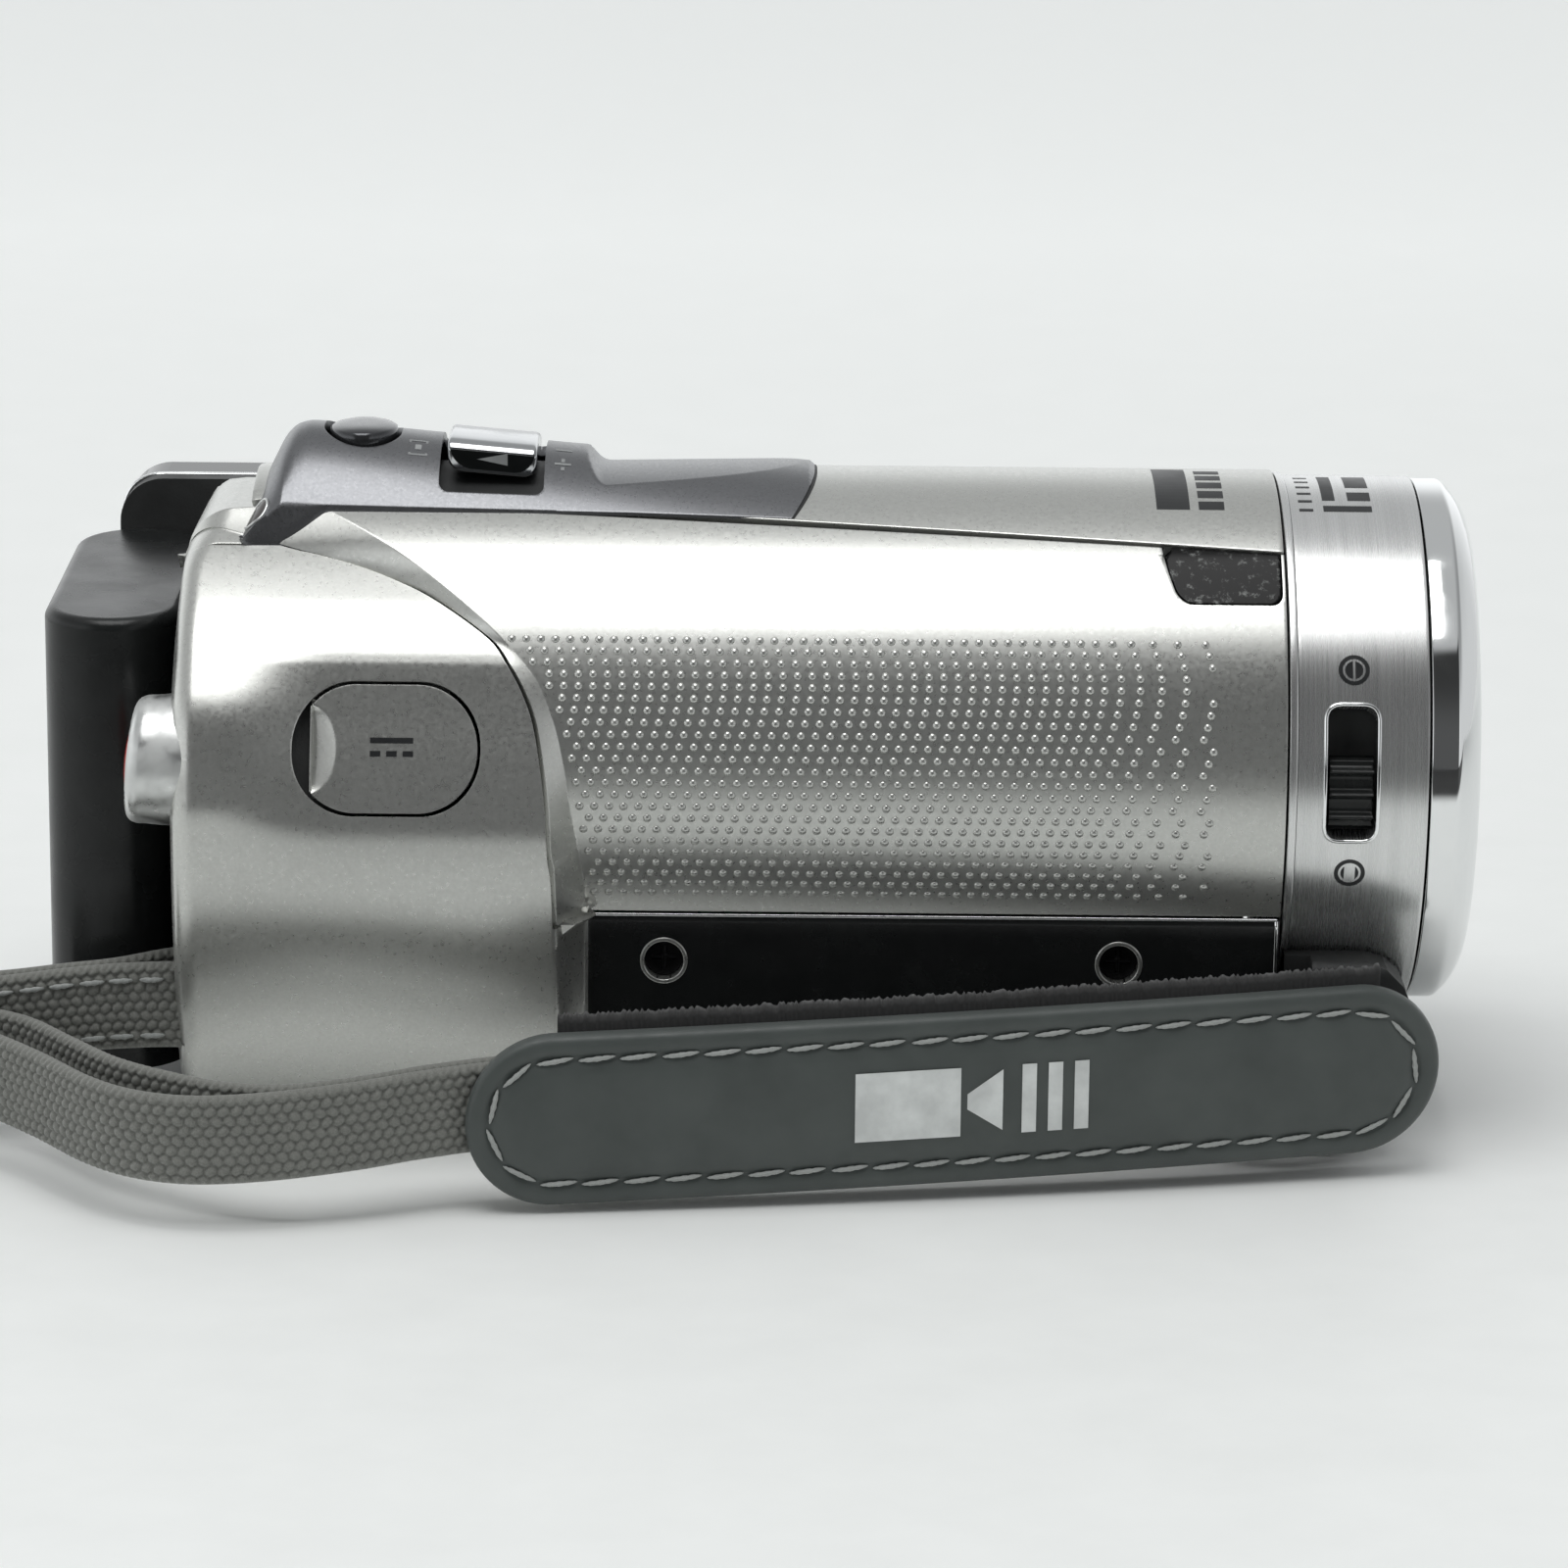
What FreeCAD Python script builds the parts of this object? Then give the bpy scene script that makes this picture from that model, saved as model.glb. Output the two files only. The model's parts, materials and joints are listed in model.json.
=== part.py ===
import FreeCAD, Part
import math
import os

# Palm-sized camcorder. Millimetres. +X is where the lens looks, +Y is the operator's
# left, +Z is up. The origin is the mouth of the tripod socket in the base plane.

V = FreeCAD.Vector
X_DIR = V(1, 0, 0)
Y_DIR = V(0, 1, 0)
Z_DIR = V(0, 0, 1)

# Body
AXIS_Z = 28.8            # height of the lens axis
BARREL_R = 21.3          # outer radius of the barrel
SIDE_Y = 18.5            # half width of the flat lower walls
LEFT_Y = 17.5            # flat wall that the screen closes against
WALL = 1.5
GAP = 0.12               # half of the parting line between two fixed covers
CORNER = 3.0             # rounded lower corners of the body
REAR_X = -47.0
FRONT_X = 38.6
LEFT_STEP_X = 24.5       # in front of this the left side is round again
LEFT_SPLIT_Y = 9.4       # parting plane between the left cover and the middle
BULGE_OUTLINE = ((0, 50.1), (-9.9, 48.4), (-17, 43.7), (-22, 36.2), (-24, 27.5), (-23.4, 18),
                 (-21.2, 9), (-18.2, 3.6), (-14, 0.3))      # (y, z) down the thumb bulge
BULGE_RAMP_X = -18.2     # where the bulge starts to run down to the barrel
BULGE_FRONT_X = -15.5    # its front end
BULGE_RAMP_SQUEEZE = 0.885
SIDE_COVER_Z = 18.6      # lower edge of the side cover
RIDGE_REAR_Z = 48.9      # parting ridge of the top cover, at the rear and the front
RIDGE_FRONT_Z = 46.0
REAR_TOP_X = -42.0       # parting plane of the small rear top cover
REAR_TOP_Z = 47.1

# Front ring group
RING_R = 20.9
RING_IN_R = 18.0
RING_X = (39.4, 49.45)
CHROME_X = (49.55, 53.75)
CHROME_IN_R = 17.9
RING_BEVEL = 1.4
SLOT_X = (41.5, 45.6)
SLOT_Z = (25.4, 36.0)
KNOB_ANGLE = (-7.4, 9.0)     # degrees above the lens axis, on the right side
KNOB_R = 21.3
DRIVE_R = (15.0, 17.7)
DRIVE_X = (41.0, 48.6)
APERTURE = (18.0, 12.6)
BLADE = (20.0, 6.9)
BARRIER_X = (48.85, 49.65)
BLADE_X = (49.85, 50.65)
BEZEL_X = (50.85, 52.35)
PLATE_R = 17.85              # outer radius of the two plates that the blades run between
BLADE_OPEN = 6.6             # a blade's near edge above the axis when open

# Optics
TUBE_R = 14.4
TUBE_IN_R = 12.9
TUBE_X = (6.0, 43.5)
ROD_R = 0.8
ROD_RADIUS = 11.0
ROD_ANGLES = (60, 240)
RUNNING = 0.06               # radial clearance of a running fit

# Deck and its controls
DECK_HALF_Y = 9.6
DECK_PROFILE = ((-42.2, 46.6), (-41.4, 49.0), (-39.2, 53.0), (-37.5, 53.6), (-27.0, 52.7),
                (-16.4, 51.9), (-14.4, 50.8), (-8.0, 50.7), (2.2, 50.4), (2.2, 45.0),
                (-42.2, 45.0))
DECK_ARCH = (10.4, 8.9, 45.2)    # half width, height and foot of the deck's arched section
SHUTTER = (-33.5, 0.0)
SHUTTER_SIZE = (5.4, 7.4)
SHUTTER_Z = (50.95, 54.0)
LEVER_X = (-26.6, -19.6)
LEVER_Y = (-5.2, 3.6)
LEVER_Z = (50.3, 52.95)
LEVER_TRAVEL = 1.5
LAMP = (-7.0, 50.3)              # the status lamp looks back out of the deck's rear slope
LAMP_R = 1.1
LAMP_X = (-41.1, -38.8)

# Rear
BATTERY = ((-58.0, -47.3), (-13.5, 17.2), (4.0, 41.5))
TONGUE = ((-47.3, -42.6), (-12.0, 13.0), (7.0, 38.0))
BATTERY_CORNER = 5.2
BATTERY_TOP_SLOPE = 1.2      # the top falls this much towards the right
RECORD = (-18.4, 30.5)
RECORD_R = 4.85
RECORD_DOT_R = 2.6
RECORD_REACH = 3.4           # how far the button stands out of the rear face

# Screen
LCD_X = (-55.0, 14.8)
LCD_Y = (17.85, 26.5)
LCD_Z = (5.5, 45.4)
LCD_SPLIT_Y = 20.4
LCD_CORNER = 3.6
LCD_VIEW_X = (-47.0, 7.0)
LCD_VIEW_Z = (9.0, 42.0)
HINGE = (19.5, 22.2)
HINGE_R = 4.2
HINGE_Z = (14.0, 38.0)
HINGE_PIN_R = 1.5
KNUCKLE_Z = ((7.0, 13.8), (38.2, 44.6))

# Direct-current socket and its cover
DC_X = (-36.9, -23.4)
DC_Z = (27.6, 38.0)
DC_CORNER = 4.6
DC_SKIN = 1.4
JACK = ((DC_X[0] + DC_X[1]) / 2, (DC_Z[0] + DC_Z[1]) / 2)
JACK_R = 2.75
JACK_PIN_R = 0.8

# Strap
REAR_BAR = (-44.0, -17.6)
FRONT_BAR = (44.5, -19.0)
BAR_R = 1.2
WEB = (6.8, 1.3)             # webbing width and thickness
TURN_R = BAR_R + 0.3 + WEB[1] / 2       # middle of the webbing where it turns round a bar
LAYER = WEB[1] / 2 + 0.15               # offset of each of two webbing layers that touch
PAD_X = (-23.7, 50.6)
PAD_Z = (2.2, 15.4)
PAD_REAR_Y = -37.6           # the pad's outer face at its rear and front end
PAD_FRONT_Y = -25.2
PAD_BOW = 1.2
PAD_THICK = 1.8
PAD_DROOP = 1.36             # degrees that the pad's rear end hangs down
LINING_X = (-16.7, 45.8)
LINING_Z = (4.4, 16.3)
LINING_OFFSET = (2.0, 3.9)

# Base
SOCKET_R = 4.5
THREAD_R = 2.55
THREAD_DEPTH = 6.0
CHASSIS_Z = (8.0, 9.2)
CARD_X = (12.0, 30.0)
CARD_Y = (-9.0, 5.0)
LATCH_X = (-43.0, -37.0)
LATCH_Y = (-5.0, 3.0)
LATCH_TRAVEL = 2.0
BASE_EDGE_Y = -14.6          # where the right shell ends under the body

# Left side
KEY_X = (-34.0, -26.0, -18.0)
KEY_Z = 11.5
KEY_R = 2.2
SPEAKER = (8.0, 14.5)
SPEAKER_R = 5.6

# Screws
SCREW_SIDE = ((-9.2, 14.9), (26.1, 14.9))
SCREW_BASE = ((-33.0, -9.0), (-33.0, 6.0), (34.5, -9.0), (34.5, 6.0))


def box(x, y, z):
    return Part.makeBox(x[1] - x[0], y[1] - y[0], z[1] - z[0], V(x[0], y[0], z[0]))


def rod(radius, start, end):
    return Part.makeCylinder(radius, (end - start).Length, start, end - start)


def disc(radius, x):
    return Part.makeCylinder(radius, x[1] - x[0], V(x[0], 0, AXIS_Z), X_DIR)


def tube(outer, inner, x):
    return disc(outer, x).cut(disc(inner, x))


def polygon(points):
    return Part.Face(Part.makePolygon(points + [points[0]]))


def prism_y(outline, y):
    """A solid with the given XZ outline between two Y planes."""
    return polygon([V(x, y[0], z) for x, z in outline]).extrude(V(0, y[1] - y[0], 0))


def rounded(solid, radius, direction):
    """Fillet the straight edges that run along one direction."""
    edges = []
    for edge in solid.Edges:
        if isinstance(edge.Curve, Part.Line) and edge.Curve.Direction.cross(direction).Length < 1e-6:
            edges.append(edge)
    return solid.makeFillet(radius, edges)


def rounded_box(x, y, z, radius, direction):
    return rounded(box(x, y, z), radius, direction)


def grow(pair, amount):
    return (pair[0] - amount, pair[1] + amount)


def about(centre, size):
    return (centre - size / 2, centre + size / 2)


def fuse(solids):
    return solids[0].multiFuse(solids[1:]).removeSplitter()


def barrel(x, inset, flat_left):
    """The barrel with its flat lower walls, inset everywhere by the same amount."""
    left = LEFT_Y if flat_left else SIDE_Y
    lower = box(x, (inset - SIDE_Y, left - inset), (inset, AXIS_Z))
    edges = [e for e in lower.Edges if e.BoundBox.ZMax < inset + 0.01 and e.BoundBox.XLength > 1]
    edges = [e for e in edges if e.BoundBox.YLength < 0.01]
    lower = lower.makeFillet(CORNER - inset, edges)
    solid = disc(BARREL_R - inset, x).fuse(lower)
    floor = box(x, (-BARREL_R, BARREL_R), (-BARREL_R, inset))
    solid = solid.cut(floor)
    if flat_left:
        solid = solid.cut(box(x, (LEFT_Y - inset, BARREL_R + 1), (0, AXIS_Z + BARREL_R)))
    return solid.removeSplitter()


def bulge_wire(x, squeeze):
    points = [V(x, y * squeeze, z) for y, z in BULGE_OUTLINE]
    curve = Part.BSplineCurve()
    curve.interpolate(Points=points, InitialTangent=V(0, -1, 0), FinalTangent=V(0, 1, -0.1))
    foot = V(x, 0, points[-1].z)
    return Part.Wire([curve.toShape(), Part.makeLine(points[-1], foot), Part.makeLine(foot, points[0])])


def bulge():
    """The thumb bulge on the right of the rear half, with the ramp at its front end."""
    rear = bulge_wire(REAR_X, 1.0)
    solid = Part.Face(rear).extrude(V(BULGE_RAMP_X - REAR_X, 0, 0))
    ends = [bulge_wire(BULGE_RAMP_X, 1.0), bulge_wire(BULGE_FRONT_X, BULGE_RAMP_SQUEEZE)]
    return solid.fuse(Part.makeLoft(ends, True, True)).removeSplitter()


def ridge_z(x):
    share = (x - REAR_TOP_X) / (FRONT_X - REAR_TOP_X)
    return RIDGE_REAR_Z + share * (RIDGE_FRONT_Z - RIDGE_REAR_Z)


def side_outline(offset):
    """The side cover's outline: the swept seam at its rear, the ridge, the front, the foot."""
    seam = [(-38.5, 47.9), (-35.5, 46.2), (-32.0, 45.2), (-28.7, 43.9), (-25.5, 42.2), (-22.5, 40.4),
            (-20.6, 38.0), (-19.3, 35.0), (-18.5, 31.5), (-18.0, 27.5), (-17.6, 22.0)]
    points = [(x - offset, z - offset) for x, z in seam]
    points.append((seam[-1][0] + 1.2 - offset, SIDE_COVER_Z - offset))
    points.append((FRONT_X + 1, SIDE_COVER_Z - offset))
    points.append((FRONT_X + 1, ridge_z(FRONT_X) + offset))
    points.append((-37.5 - offset, ridge_z(-37.5) + offset))
    return points


def top_zone(offset):
    outline = [(REAR_TOP_X - offset, ridge_z(REAR_TOP_X) - offset),
               (FRONT_X + 1, ridge_z(FRONT_X) - offset), (FRONT_X + 1, 60), (REAR_TOP_X - offset, 60)]
    return prism_y(outline, (-BARREL_R - 4, LEFT_SPLIT_Y))


def rear_top_zone(offset):
    return box((REAR_X - 1, REAR_TOP_X + offset), (-BARREL_R - 4, LEFT_SPLIT_Y), (REAR_TOP_Z - offset, 60))


def cavity():
    rear = barrel((REAR_X - 1, LEFT_STEP_X - WALL), WALL, True)
    front = barrel((LEFT_STEP_X - WALL, FRONT_X + 1), WALL, False)
    front = front.cut(box((LEFT_STEP_X - WALL - 1, LEFT_STEP_X + WALL), (LEFT_Y - WALL, 30), (0, 60)))
    return rear.fuse(front)


def plain_shell():
    rear = barrel((REAR_X, LEFT_STEP_X), 0, True)
    front = barrel((LEFT_STEP_X, FRONT_X), 0, False)
    return rear.fuse(front).cut(cavity())


def bulged_shell():
    return plain_shell().fuse(bulge().cut(cavity())).removeSplitter()


def window_outline(offset):
    return [(29.3 - offset, 46.3 + offset), (FRONT_X - 0.4 + offset, 46.3 + offset),
            (FRONT_X - 0.4 + offset, 42.6 - offset), (31.6 - offset, 42.6 - offset),
            (30.2 - offset, 43.6 - offset)]


def dc_outline(offset, y):
    return rounded_box(grow(DC_X, offset), y, grow(DC_Z, offset), DC_CORNER + offset, Y_DIR)


def strap_pocket():
    y = about(REAR_BAR[1], 6.2)
    return rounded_box((REAR_X - 1, REAR_BAR[0] + 3.6), y, (7.6, 17.6), 0.8, X_DIR)


def record_pocket():
    start = V(REAR_X - 1, *RECORD)
    return rod(RECORD_R + 0.15, start, V(REAR_X + 3.0, *RECORD))


def side_cover():
    zone = prism_y(side_outline(-GAP), (-BARREL_R - 4, -3))
    cover = plain_shell().common(zone).cut(top_zone(GAP))
    return cover.cut(prism_y(window_outline(GAP), (-30, 0)))


def top_cover():
    cover = plain_shell().common(top_zone(-GAP))
    cover = cover.cut(prism_y(window_outline(GAP), (-30, -3)))
    return cover


def rear_top_cover():
    return bulged_shell().common(rear_top_zone(-GAP))


def right_shell():
    shell = bulged_shell().common(box((REAR_X - 1, FRONT_X + 1), (-30, BASE_EDGE_Y), (-1, 60)))
    upper = box((REAR_X - 1, -30), (BASE_EDGE_Y - 0.1, LEFT_SPLIT_Y - 2 * GAP), (30, 60))
    shell = shell.fuse(bulged_shell().common(upper)).removeSplitter()
    shell = shell.cut(prism_y(side_outline(GAP), (-40, -3)))
    shell = shell.cut(top_zone(GAP)).cut(rear_top_zone(GAP))
    shell = shell.cut(strap_pocket()).cut(record_pocket())
    shell = shell.cut(dc_outline(0.15, (-40, -23.0 + DC_SKIN + 2.0)))
    shell = shell.cut(rear_bar()).cut(jack_block())
    for x, z in SCREW_SIDE:
        shell = shell.cut(rod(1.6, V(x, -SIDE_Y - 1, z), V(x, -SIDE_Y + WALL + 1, z)))
    return largest(shell)


def largest(shape):
    return max(shape.Solids, key=lambda solid: solid.Volume)


def left_cover():
    cover = plain_shell().common(box((REAR_X - 1, FRONT_X + 1), (LEFT_SPLIT_Y + GAP, 30), (-1, 60)))
    for x in KEY_X:
        cover = cover.cut(rod(KEY_R + 0.1, V(x, LEFT_Y - WALL - 1, KEY_Z), V(x, LEFT_Y + 1, KEY_Z)))
    for row in range(4):
        z = SPEAKER[1] + (row - 1.5) * 2.4
        cover = cover.cut(box(about(SPEAKER[0], 8), (LEFT_Y - WALL - 1, LEFT_Y + 1), about(z, 1.0)))
    mirror = prism_y(window_outline(GAP), (0, 30))
    return largest(cover.cut(mirror))


def base_cover():
    plate = box((REAR_X + 0.2, FRONT_X), (BASE_EDGE_Y + 2 * GAP, LEFT_SPLIT_Y - GAP), (0, WALL))
    plate = plate.cut(rod(SOCKET_R, V(0, 0, -1), V(0, 0, WALL + 1)))
    plate = plate.cut(box(grow(CARD_X, 0.15), grow(CARD_Y, 0.15), (-1, WALL + 1)))
    plate = plate.cut(box(grow(LATCH_X, 0.1), (LATCH_Y[0] - 0.1, LATCH_Y[1] + LATCH_TRAVEL + 0.1),
                          (-1, WALL + 1)))
    for x, y in SCREW_BASE:
        plate = plate.cut(rod(1.7, V(x, y, -1), V(x, y, WALL + 1)))
    return plate


def rear_panel():
    plate = barrel((REAR_X, REAR_X + WALL), WALL + GAP, True)
    tray = box((REAR_X + WALL, TONGUE[0][1] + 1.5), grow(TONGUE[1], 1.4), grow(TONGUE[2], 1.4))
    bay = box((REAR_X - 1, TONGUE[0][1] + 0.3), grow(TONGUE[1], 0.2), grow(TONGUE[2], 0.2))
    panel = plate.fuse(tray).cut(bay).cut(record_pocket()).cut(strap_pocket())
    return largest(panel.cut(terminal_window(0)).cut(rear_top_zone(0)).removeSplitter())


def terminal_window(offset):
    return box((TONGUE[0][1] - 1, TONGUE[0][1] + 3), about(0, 12 + offset), about(14, 5 + offset))


def battery_terminal():
    block = box((TONGUE[0][1] + 1.5, TONGUE[0][1] + 4.5), about(0, 15), about(14, 8))
    nose = box((TONGUE[0][1] + 0.5, TONGUE[0][1] + 1.5), about(0, 12), about(14, 5))
    terminal = block.fuse(nose)
    for y in (-4, 0, 4):
        terminal = terminal.cut(box((TONGUE[0][1], TONGUE[0][1] + 1.2), about(y, 1.6), about(14, 3.4)))
    return terminal


def battery_pack():
    x, y, z = BATTERY
    pack = rounded_box(x, y, z, BATTERY_CORNER, Z_DIR)
    low_z = z[1] - BATTERY_TOP_SLOPE
    wedge = polygon([V(x[0] - 1, y[0], low_z), V(x[0] - 1, y[1], z[1]), V(x[0] - 1, y[0], z[1])])
    pack = pack.cut(wedge.extrude(V(x[1] - x[0] + 2, 0, 0)))
    rims = [e for e in pack.Edges if e.BoundBox.ZMin > low_z - 0.01]
    pack = pack.makeFillet(0.9, rims)
    return pack.fuse(rounded_box(*TONGUE, 1.0, X_DIR)).removeSplitter()


def battery_latch():
    plate = box(LATCH_X, LATCH_Y, (0.1, WALL))
    for i in range(3):
        y = LATCH_Y[0] + 2.4 + 1.6 * i
        plate = plate.cut(box(grow(LATCH_X, -1.0), about(y, 0.6), (0, 0.5)))
    return plate


def tripod_socket():
    body = rod(SOCKET_R, V(0, 0, 0), V(0, 0, CHASSIS_Z[0]))
    return body.cut(rod(THREAD_R, V(0, 0, -1), V(0, 0, THREAD_DEPTH)))


def card_door():
    door = box(CARD_X, CARD_Y, (0, WALL - 0.1))
    return door.cut(box((CARD_X[0] + 0.8, CARD_X[0] + 2.0), about(-2, 6), (-1, 0.6)))


def card_slot():
    shell = box((13.0, 29.0), (-8.0, 4.0), (2.2, 5.0))
    return shell.cut(box((12.0, 27.0), (-7.4, 3.4), (2.8, 4.4)))


def chassis_frame():
    plate = box((-38.0, 36.8), (-13.5, 11.5), CHASSIS_Z)
    parts = [plate]
    for x in (9.0, 31.0):
        parts.append(box((x, x + 3.0), (-10, 10), (CHASSIS_Z[0], 20.0)))
    for x, z in SCREW_SIDE:
        parts.append(box(about(x, 5), (-16.6, -12.5), (CHASSIS_Z[0], z + 2.5)))
    parts.append(box((-38.0, -36.8), (-9, 8.6), (CHASSIS_Z[0], 26.0)))
    frame = fuse(parts).cut(disc(TUBE_R, (0, 45)))
    for x, y in SCREW_BASE:
        frame = frame.cut(rod(0.9, V(x, y, 0), V(x, y, CHASSIS_Z[1] + 1)))
    for x, z in SCREW_SIDE:
        frame = frame.cut(rod(0.8, V(x, -20, z), V(x, -12.9, z)))
    return frame


def screw(head_centre, direction, head_r, shank_r, length):
    """A cross-head screw. The head's outer face is at head_centre."""
    head = Part.makeCylinder(head_r, 1.0, head_centre, direction)
    shank = Part.makeCylinder(shank_r, length, head_centre, direction)
    solid = head.fuse(shank)
    side = direction.cross(V(1, 1, 0) if abs(direction.z) < 0.5 else V(1, 0, 0)).normalize()
    for across in (side, side.cross(direction)):
        start = head_centre - across * head_r * 0.65
        bar = Part.makeCylinder(0.22, head_r * 1.3, start, across)
        solid = solid.cut(bar)
    return solid


def side_screws():
    screws = [screw(V(x, -SIDE_Y + 0.7, z), Y_DIR, 1.45, 0.8, 4.6) for x, z in SCREW_SIDE]
    return Part.makeCompound(screws)


def base_screws():
    screws = [screw(V(x, y, 0.3), Z_DIR, 1.6, 0.9, 8.4) for x, y in SCREW_BASE]
    return Part.makeCompound(screws)


def main_board():
    board = box((-37.0, 1.0), (9.0, 10.2), (11.0, 44.0))
    chips = [box((-28, -16), (7.4, 9.0), (22, 34)), box((-10, -3), (7.8, 9.0), (16, 24)),
             box((-34, -30), (7.6, 9.0), (36, 41))]
    return fuse([board] + chips)


def lens_tube():
    barrel_tube = tube(TUBE_R, TUBE_IN_R, TUBE_X)
    flange = tube(TUBE_IN_R, 10.0, (36.4, 38.4))
    solid = barrel_tube.fuse(flange)
    return solid.cut(guide_rods())


def rod_places():
    return [(ROD_RADIUS * math.cos(math.radians(a)), AXIS_Z + ROD_RADIUS * math.sin(math.radians(a)))
            for a in ROD_ANGLES]


def guide_rods(extra=0.0):
    rods = [rod(ROD_R + extra, V(4.8, y, z), V(37.6, y, z)) for y, z in rod_places()]
    return Part.makeCompound(rods)


def lens(radius, x, crown):
    """A lens whose front face bulges by crown in front of x[1]."""
    sphere_r = (radius ** 2 + crown ** 2) / (2 * crown)
    ball = Part.makeSphere(sphere_r, V(x[1] + crown - sphere_r, 0, AXIS_Z))
    return disc(radius, (x[0], x[1] + crown)).common(ball)


def lens_cell(outer, inner, x):
    return tube(outer, inner, x).cut(guide_rods(RUNNING))


def sensor_mount():
    plate = disc(TUBE_R, (4.8, 6.0))
    return plate.cut(box((4, 7), about(0, 11), about(AXIS_Z, 9))).cut(guide_rods())


def sensor_board():
    board = box((2.4, 3.6), about(0, 24), about(AXIS_Z, 22))
    chip = box((3.6, 5.4), about(0, 10), about(AXIS_Z, 8))
    return board.fuse(chip)


def satin_ring():
    ring = tube(RING_R, RING_IN_R, RING_X)
    slot = rounded_box(SLOT_X, (-25, -10), SLOT_Z, 1.2, Y_DIR)
    return ring.cut(slot)


def chrome_ring():
    ring = tube(RING_R, CHROME_IN_R, CHROME_X)
    front = [e for e in ring.Edges if e.BoundBox.XMin > CHROME_X[1] - 0.01 and e.BoundBox.YLength > 40]
    return ring.makeFillet(RING_BEVEL, front)


def aperture_plate(x):
    window = rounded_box(grow(x, 1), about(0, APERTURE[0]), about(AXIS_Z, APERTURE[1]), 2.0, X_DIR)
    return disc(PLATE_R, x).cut(window)


def blade(side):
    near = AXIS_Z + side * BLADE_OPEN
    z = (near, near + BLADE[1]) if side > 0 else (near - BLADE[1], near)
    return rounded_box(BLADE_X, about(0, BLADE[0]), z, 1.0, X_DIR)


def sector(inner, outer, x, angles):
    """A ring segment on the right side between two angles above the axis."""
    ring = tube(outer, inner, x)
    far = 40
    corners = [V(x[0] - 1, 0, AXIS_Z)]
    for angle in angles:
        a = math.radians(angle)
        corners.append(V(x[0] - 1, -far * math.cos(a), AXIS_Z + far * math.sin(a)))
    return ring.common(polygon(corners).extrude(V(x[1] - x[0] + 2, 0, 0)))


def drive_ring():
    return tube(DRIVE_R[1], DRIVE_R[0], DRIVE_X)


def cover_knob():
    x = grow(SLOT_X, -0.35)
    knob = sector(DRIVE_R[1], KNOB_R, x, KNOB_ANGLE)
    for angle in (-4.0, 5.6):
        knob = knob.cut(sector(KNOB_R - 0.5, KNOB_R + 1, x, (angle - 1.0, angle + 1.0)))
    return knob


def front_bracket():
    """The foot of the ring group, with the slot and bar for the front end of the strap."""
    foot = barrel((39.0, 46.0), 0.3, False).common(box((38, 47), (-30, 30), (0, 15.6)))
    lug = rounded_box((41.0, 48.8), (-20.6, -11.0), (0.8, 15.6), 1.0, X_DIR)
    block = foot.fuse(lug).cut(disc(RING_R + 0.25, (38, 50)))
    block = block.cut(prism_y([(50, -1), (50, 7), (43, -1)], (-30, 30)))
    nose = [(45.0, 15.7), (46.8, 15.1), (48.1, 13.8), (48.9, 12.0), (50, 12.0), (50, 17), (45.0, 17)]
    block = block.cut(prism_y(nose, (-30, 30)))
    slot = box((FRONT_BAR[0] - 3.3, 50), (-23, -15.6), (4.0, 12.8))
    return largest(block.cut(slot).cut(front_bar()).removeSplitter())


def front_bar():
    return rod(BAR_R, V(*FRONT_BAR, 1.6), V(*FRONT_BAR, 14.4))


def rear_bar():
    return rod(BAR_R, V(*REAR_BAR, 5.6), V(*REAR_BAR, 19.6))


def deck_blank():
    solid = prism_y(DECK_PROFILE, (-DECK_HALF_Y, DECK_HALF_Y - 0.6))
    half_y, height, foot_z = DECK_ARCH
    centre = V(-60, 0, foot_z)
    face = Part.Face(Part.Wire([Part.Ellipse(centre, half_y, height).toShape()]))
    face.rotate(centre, Y_DIR, 90)
    face.rotate(centre, X_DIR, 90)
    return solid.common(face.extrude(V(80, 0, 0)))


def control_deck():
    deck = deck_blank().cut(disc(BARREL_R + 0.06, (-50, 10))).cut(bulge())
    deck = deck.cut(shutter_blank(0.12, (40, 60)))
    recess = rounded_box(grow(LEVER_X, 0.5), grow(LEVER_Y, LEVER_TRAVEL + 0.3), (40, 60), 1.0, Z_DIR)
    return largest(deck.cut(recess).cut(lamp(0.1)))


def shutter_blank(offset, z):
    x = grow(about(SHUTTER[0], SHUTTER_SIZE[0]), offset)
    y = grow(about(SHUTTER[1], SHUTTER_SIZE[1]), offset)
    return rounded_box(x, y, z, SHUTTER_SIZE[0] / 2 - 0.05, Z_DIR)


def shutter_button():
    cap = shutter_blank(0, SHUTTER_Z)
    rims = [e for e in cap.Edges if e.BoundBox.ZMin > SHUTTER_Z[1] - 0.01]
    return cap.makeFillet(0.8, rims)


def zoom_lever():
    return rounded_box(LEVER_X, LEVER_Y, LEVER_Z, 0.8, X_DIR)


def lamp(offset):
    return rod(LAMP_R + offset, V(LAMP_X[0], *LAMP), V(LAMP_X[1], *LAMP))


def record_button():
    start = V(REAR_X + 2.0, *RECORD)
    face_x = REAR_X - RECORD_REACH
    body = rod(RECORD_R, start, V(face_x, *RECORD))
    rims = [e for e in body.Edges if e.BoundBox.XMax < face_x + 0.01]
    body = body.makeFillet(1.2, rims)
    return body.cut(rod(RECORD_DOT_R, V(face_x - 1, *RECORD), V(REAR_X - 1.5, *RECORD)))


def record_dot():
    face_x = REAR_X - RECORD_REACH - 0.2
    dot = rod(RECORD_DOT_R, V(REAR_X - 1.5, *RECORD), V(face_x, *RECORD))
    rims = [e for e in dot.Edges if e.BoundBox.XMax < face_x + 0.01]
    return dot.makeFillet(0.5, rims)


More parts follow.
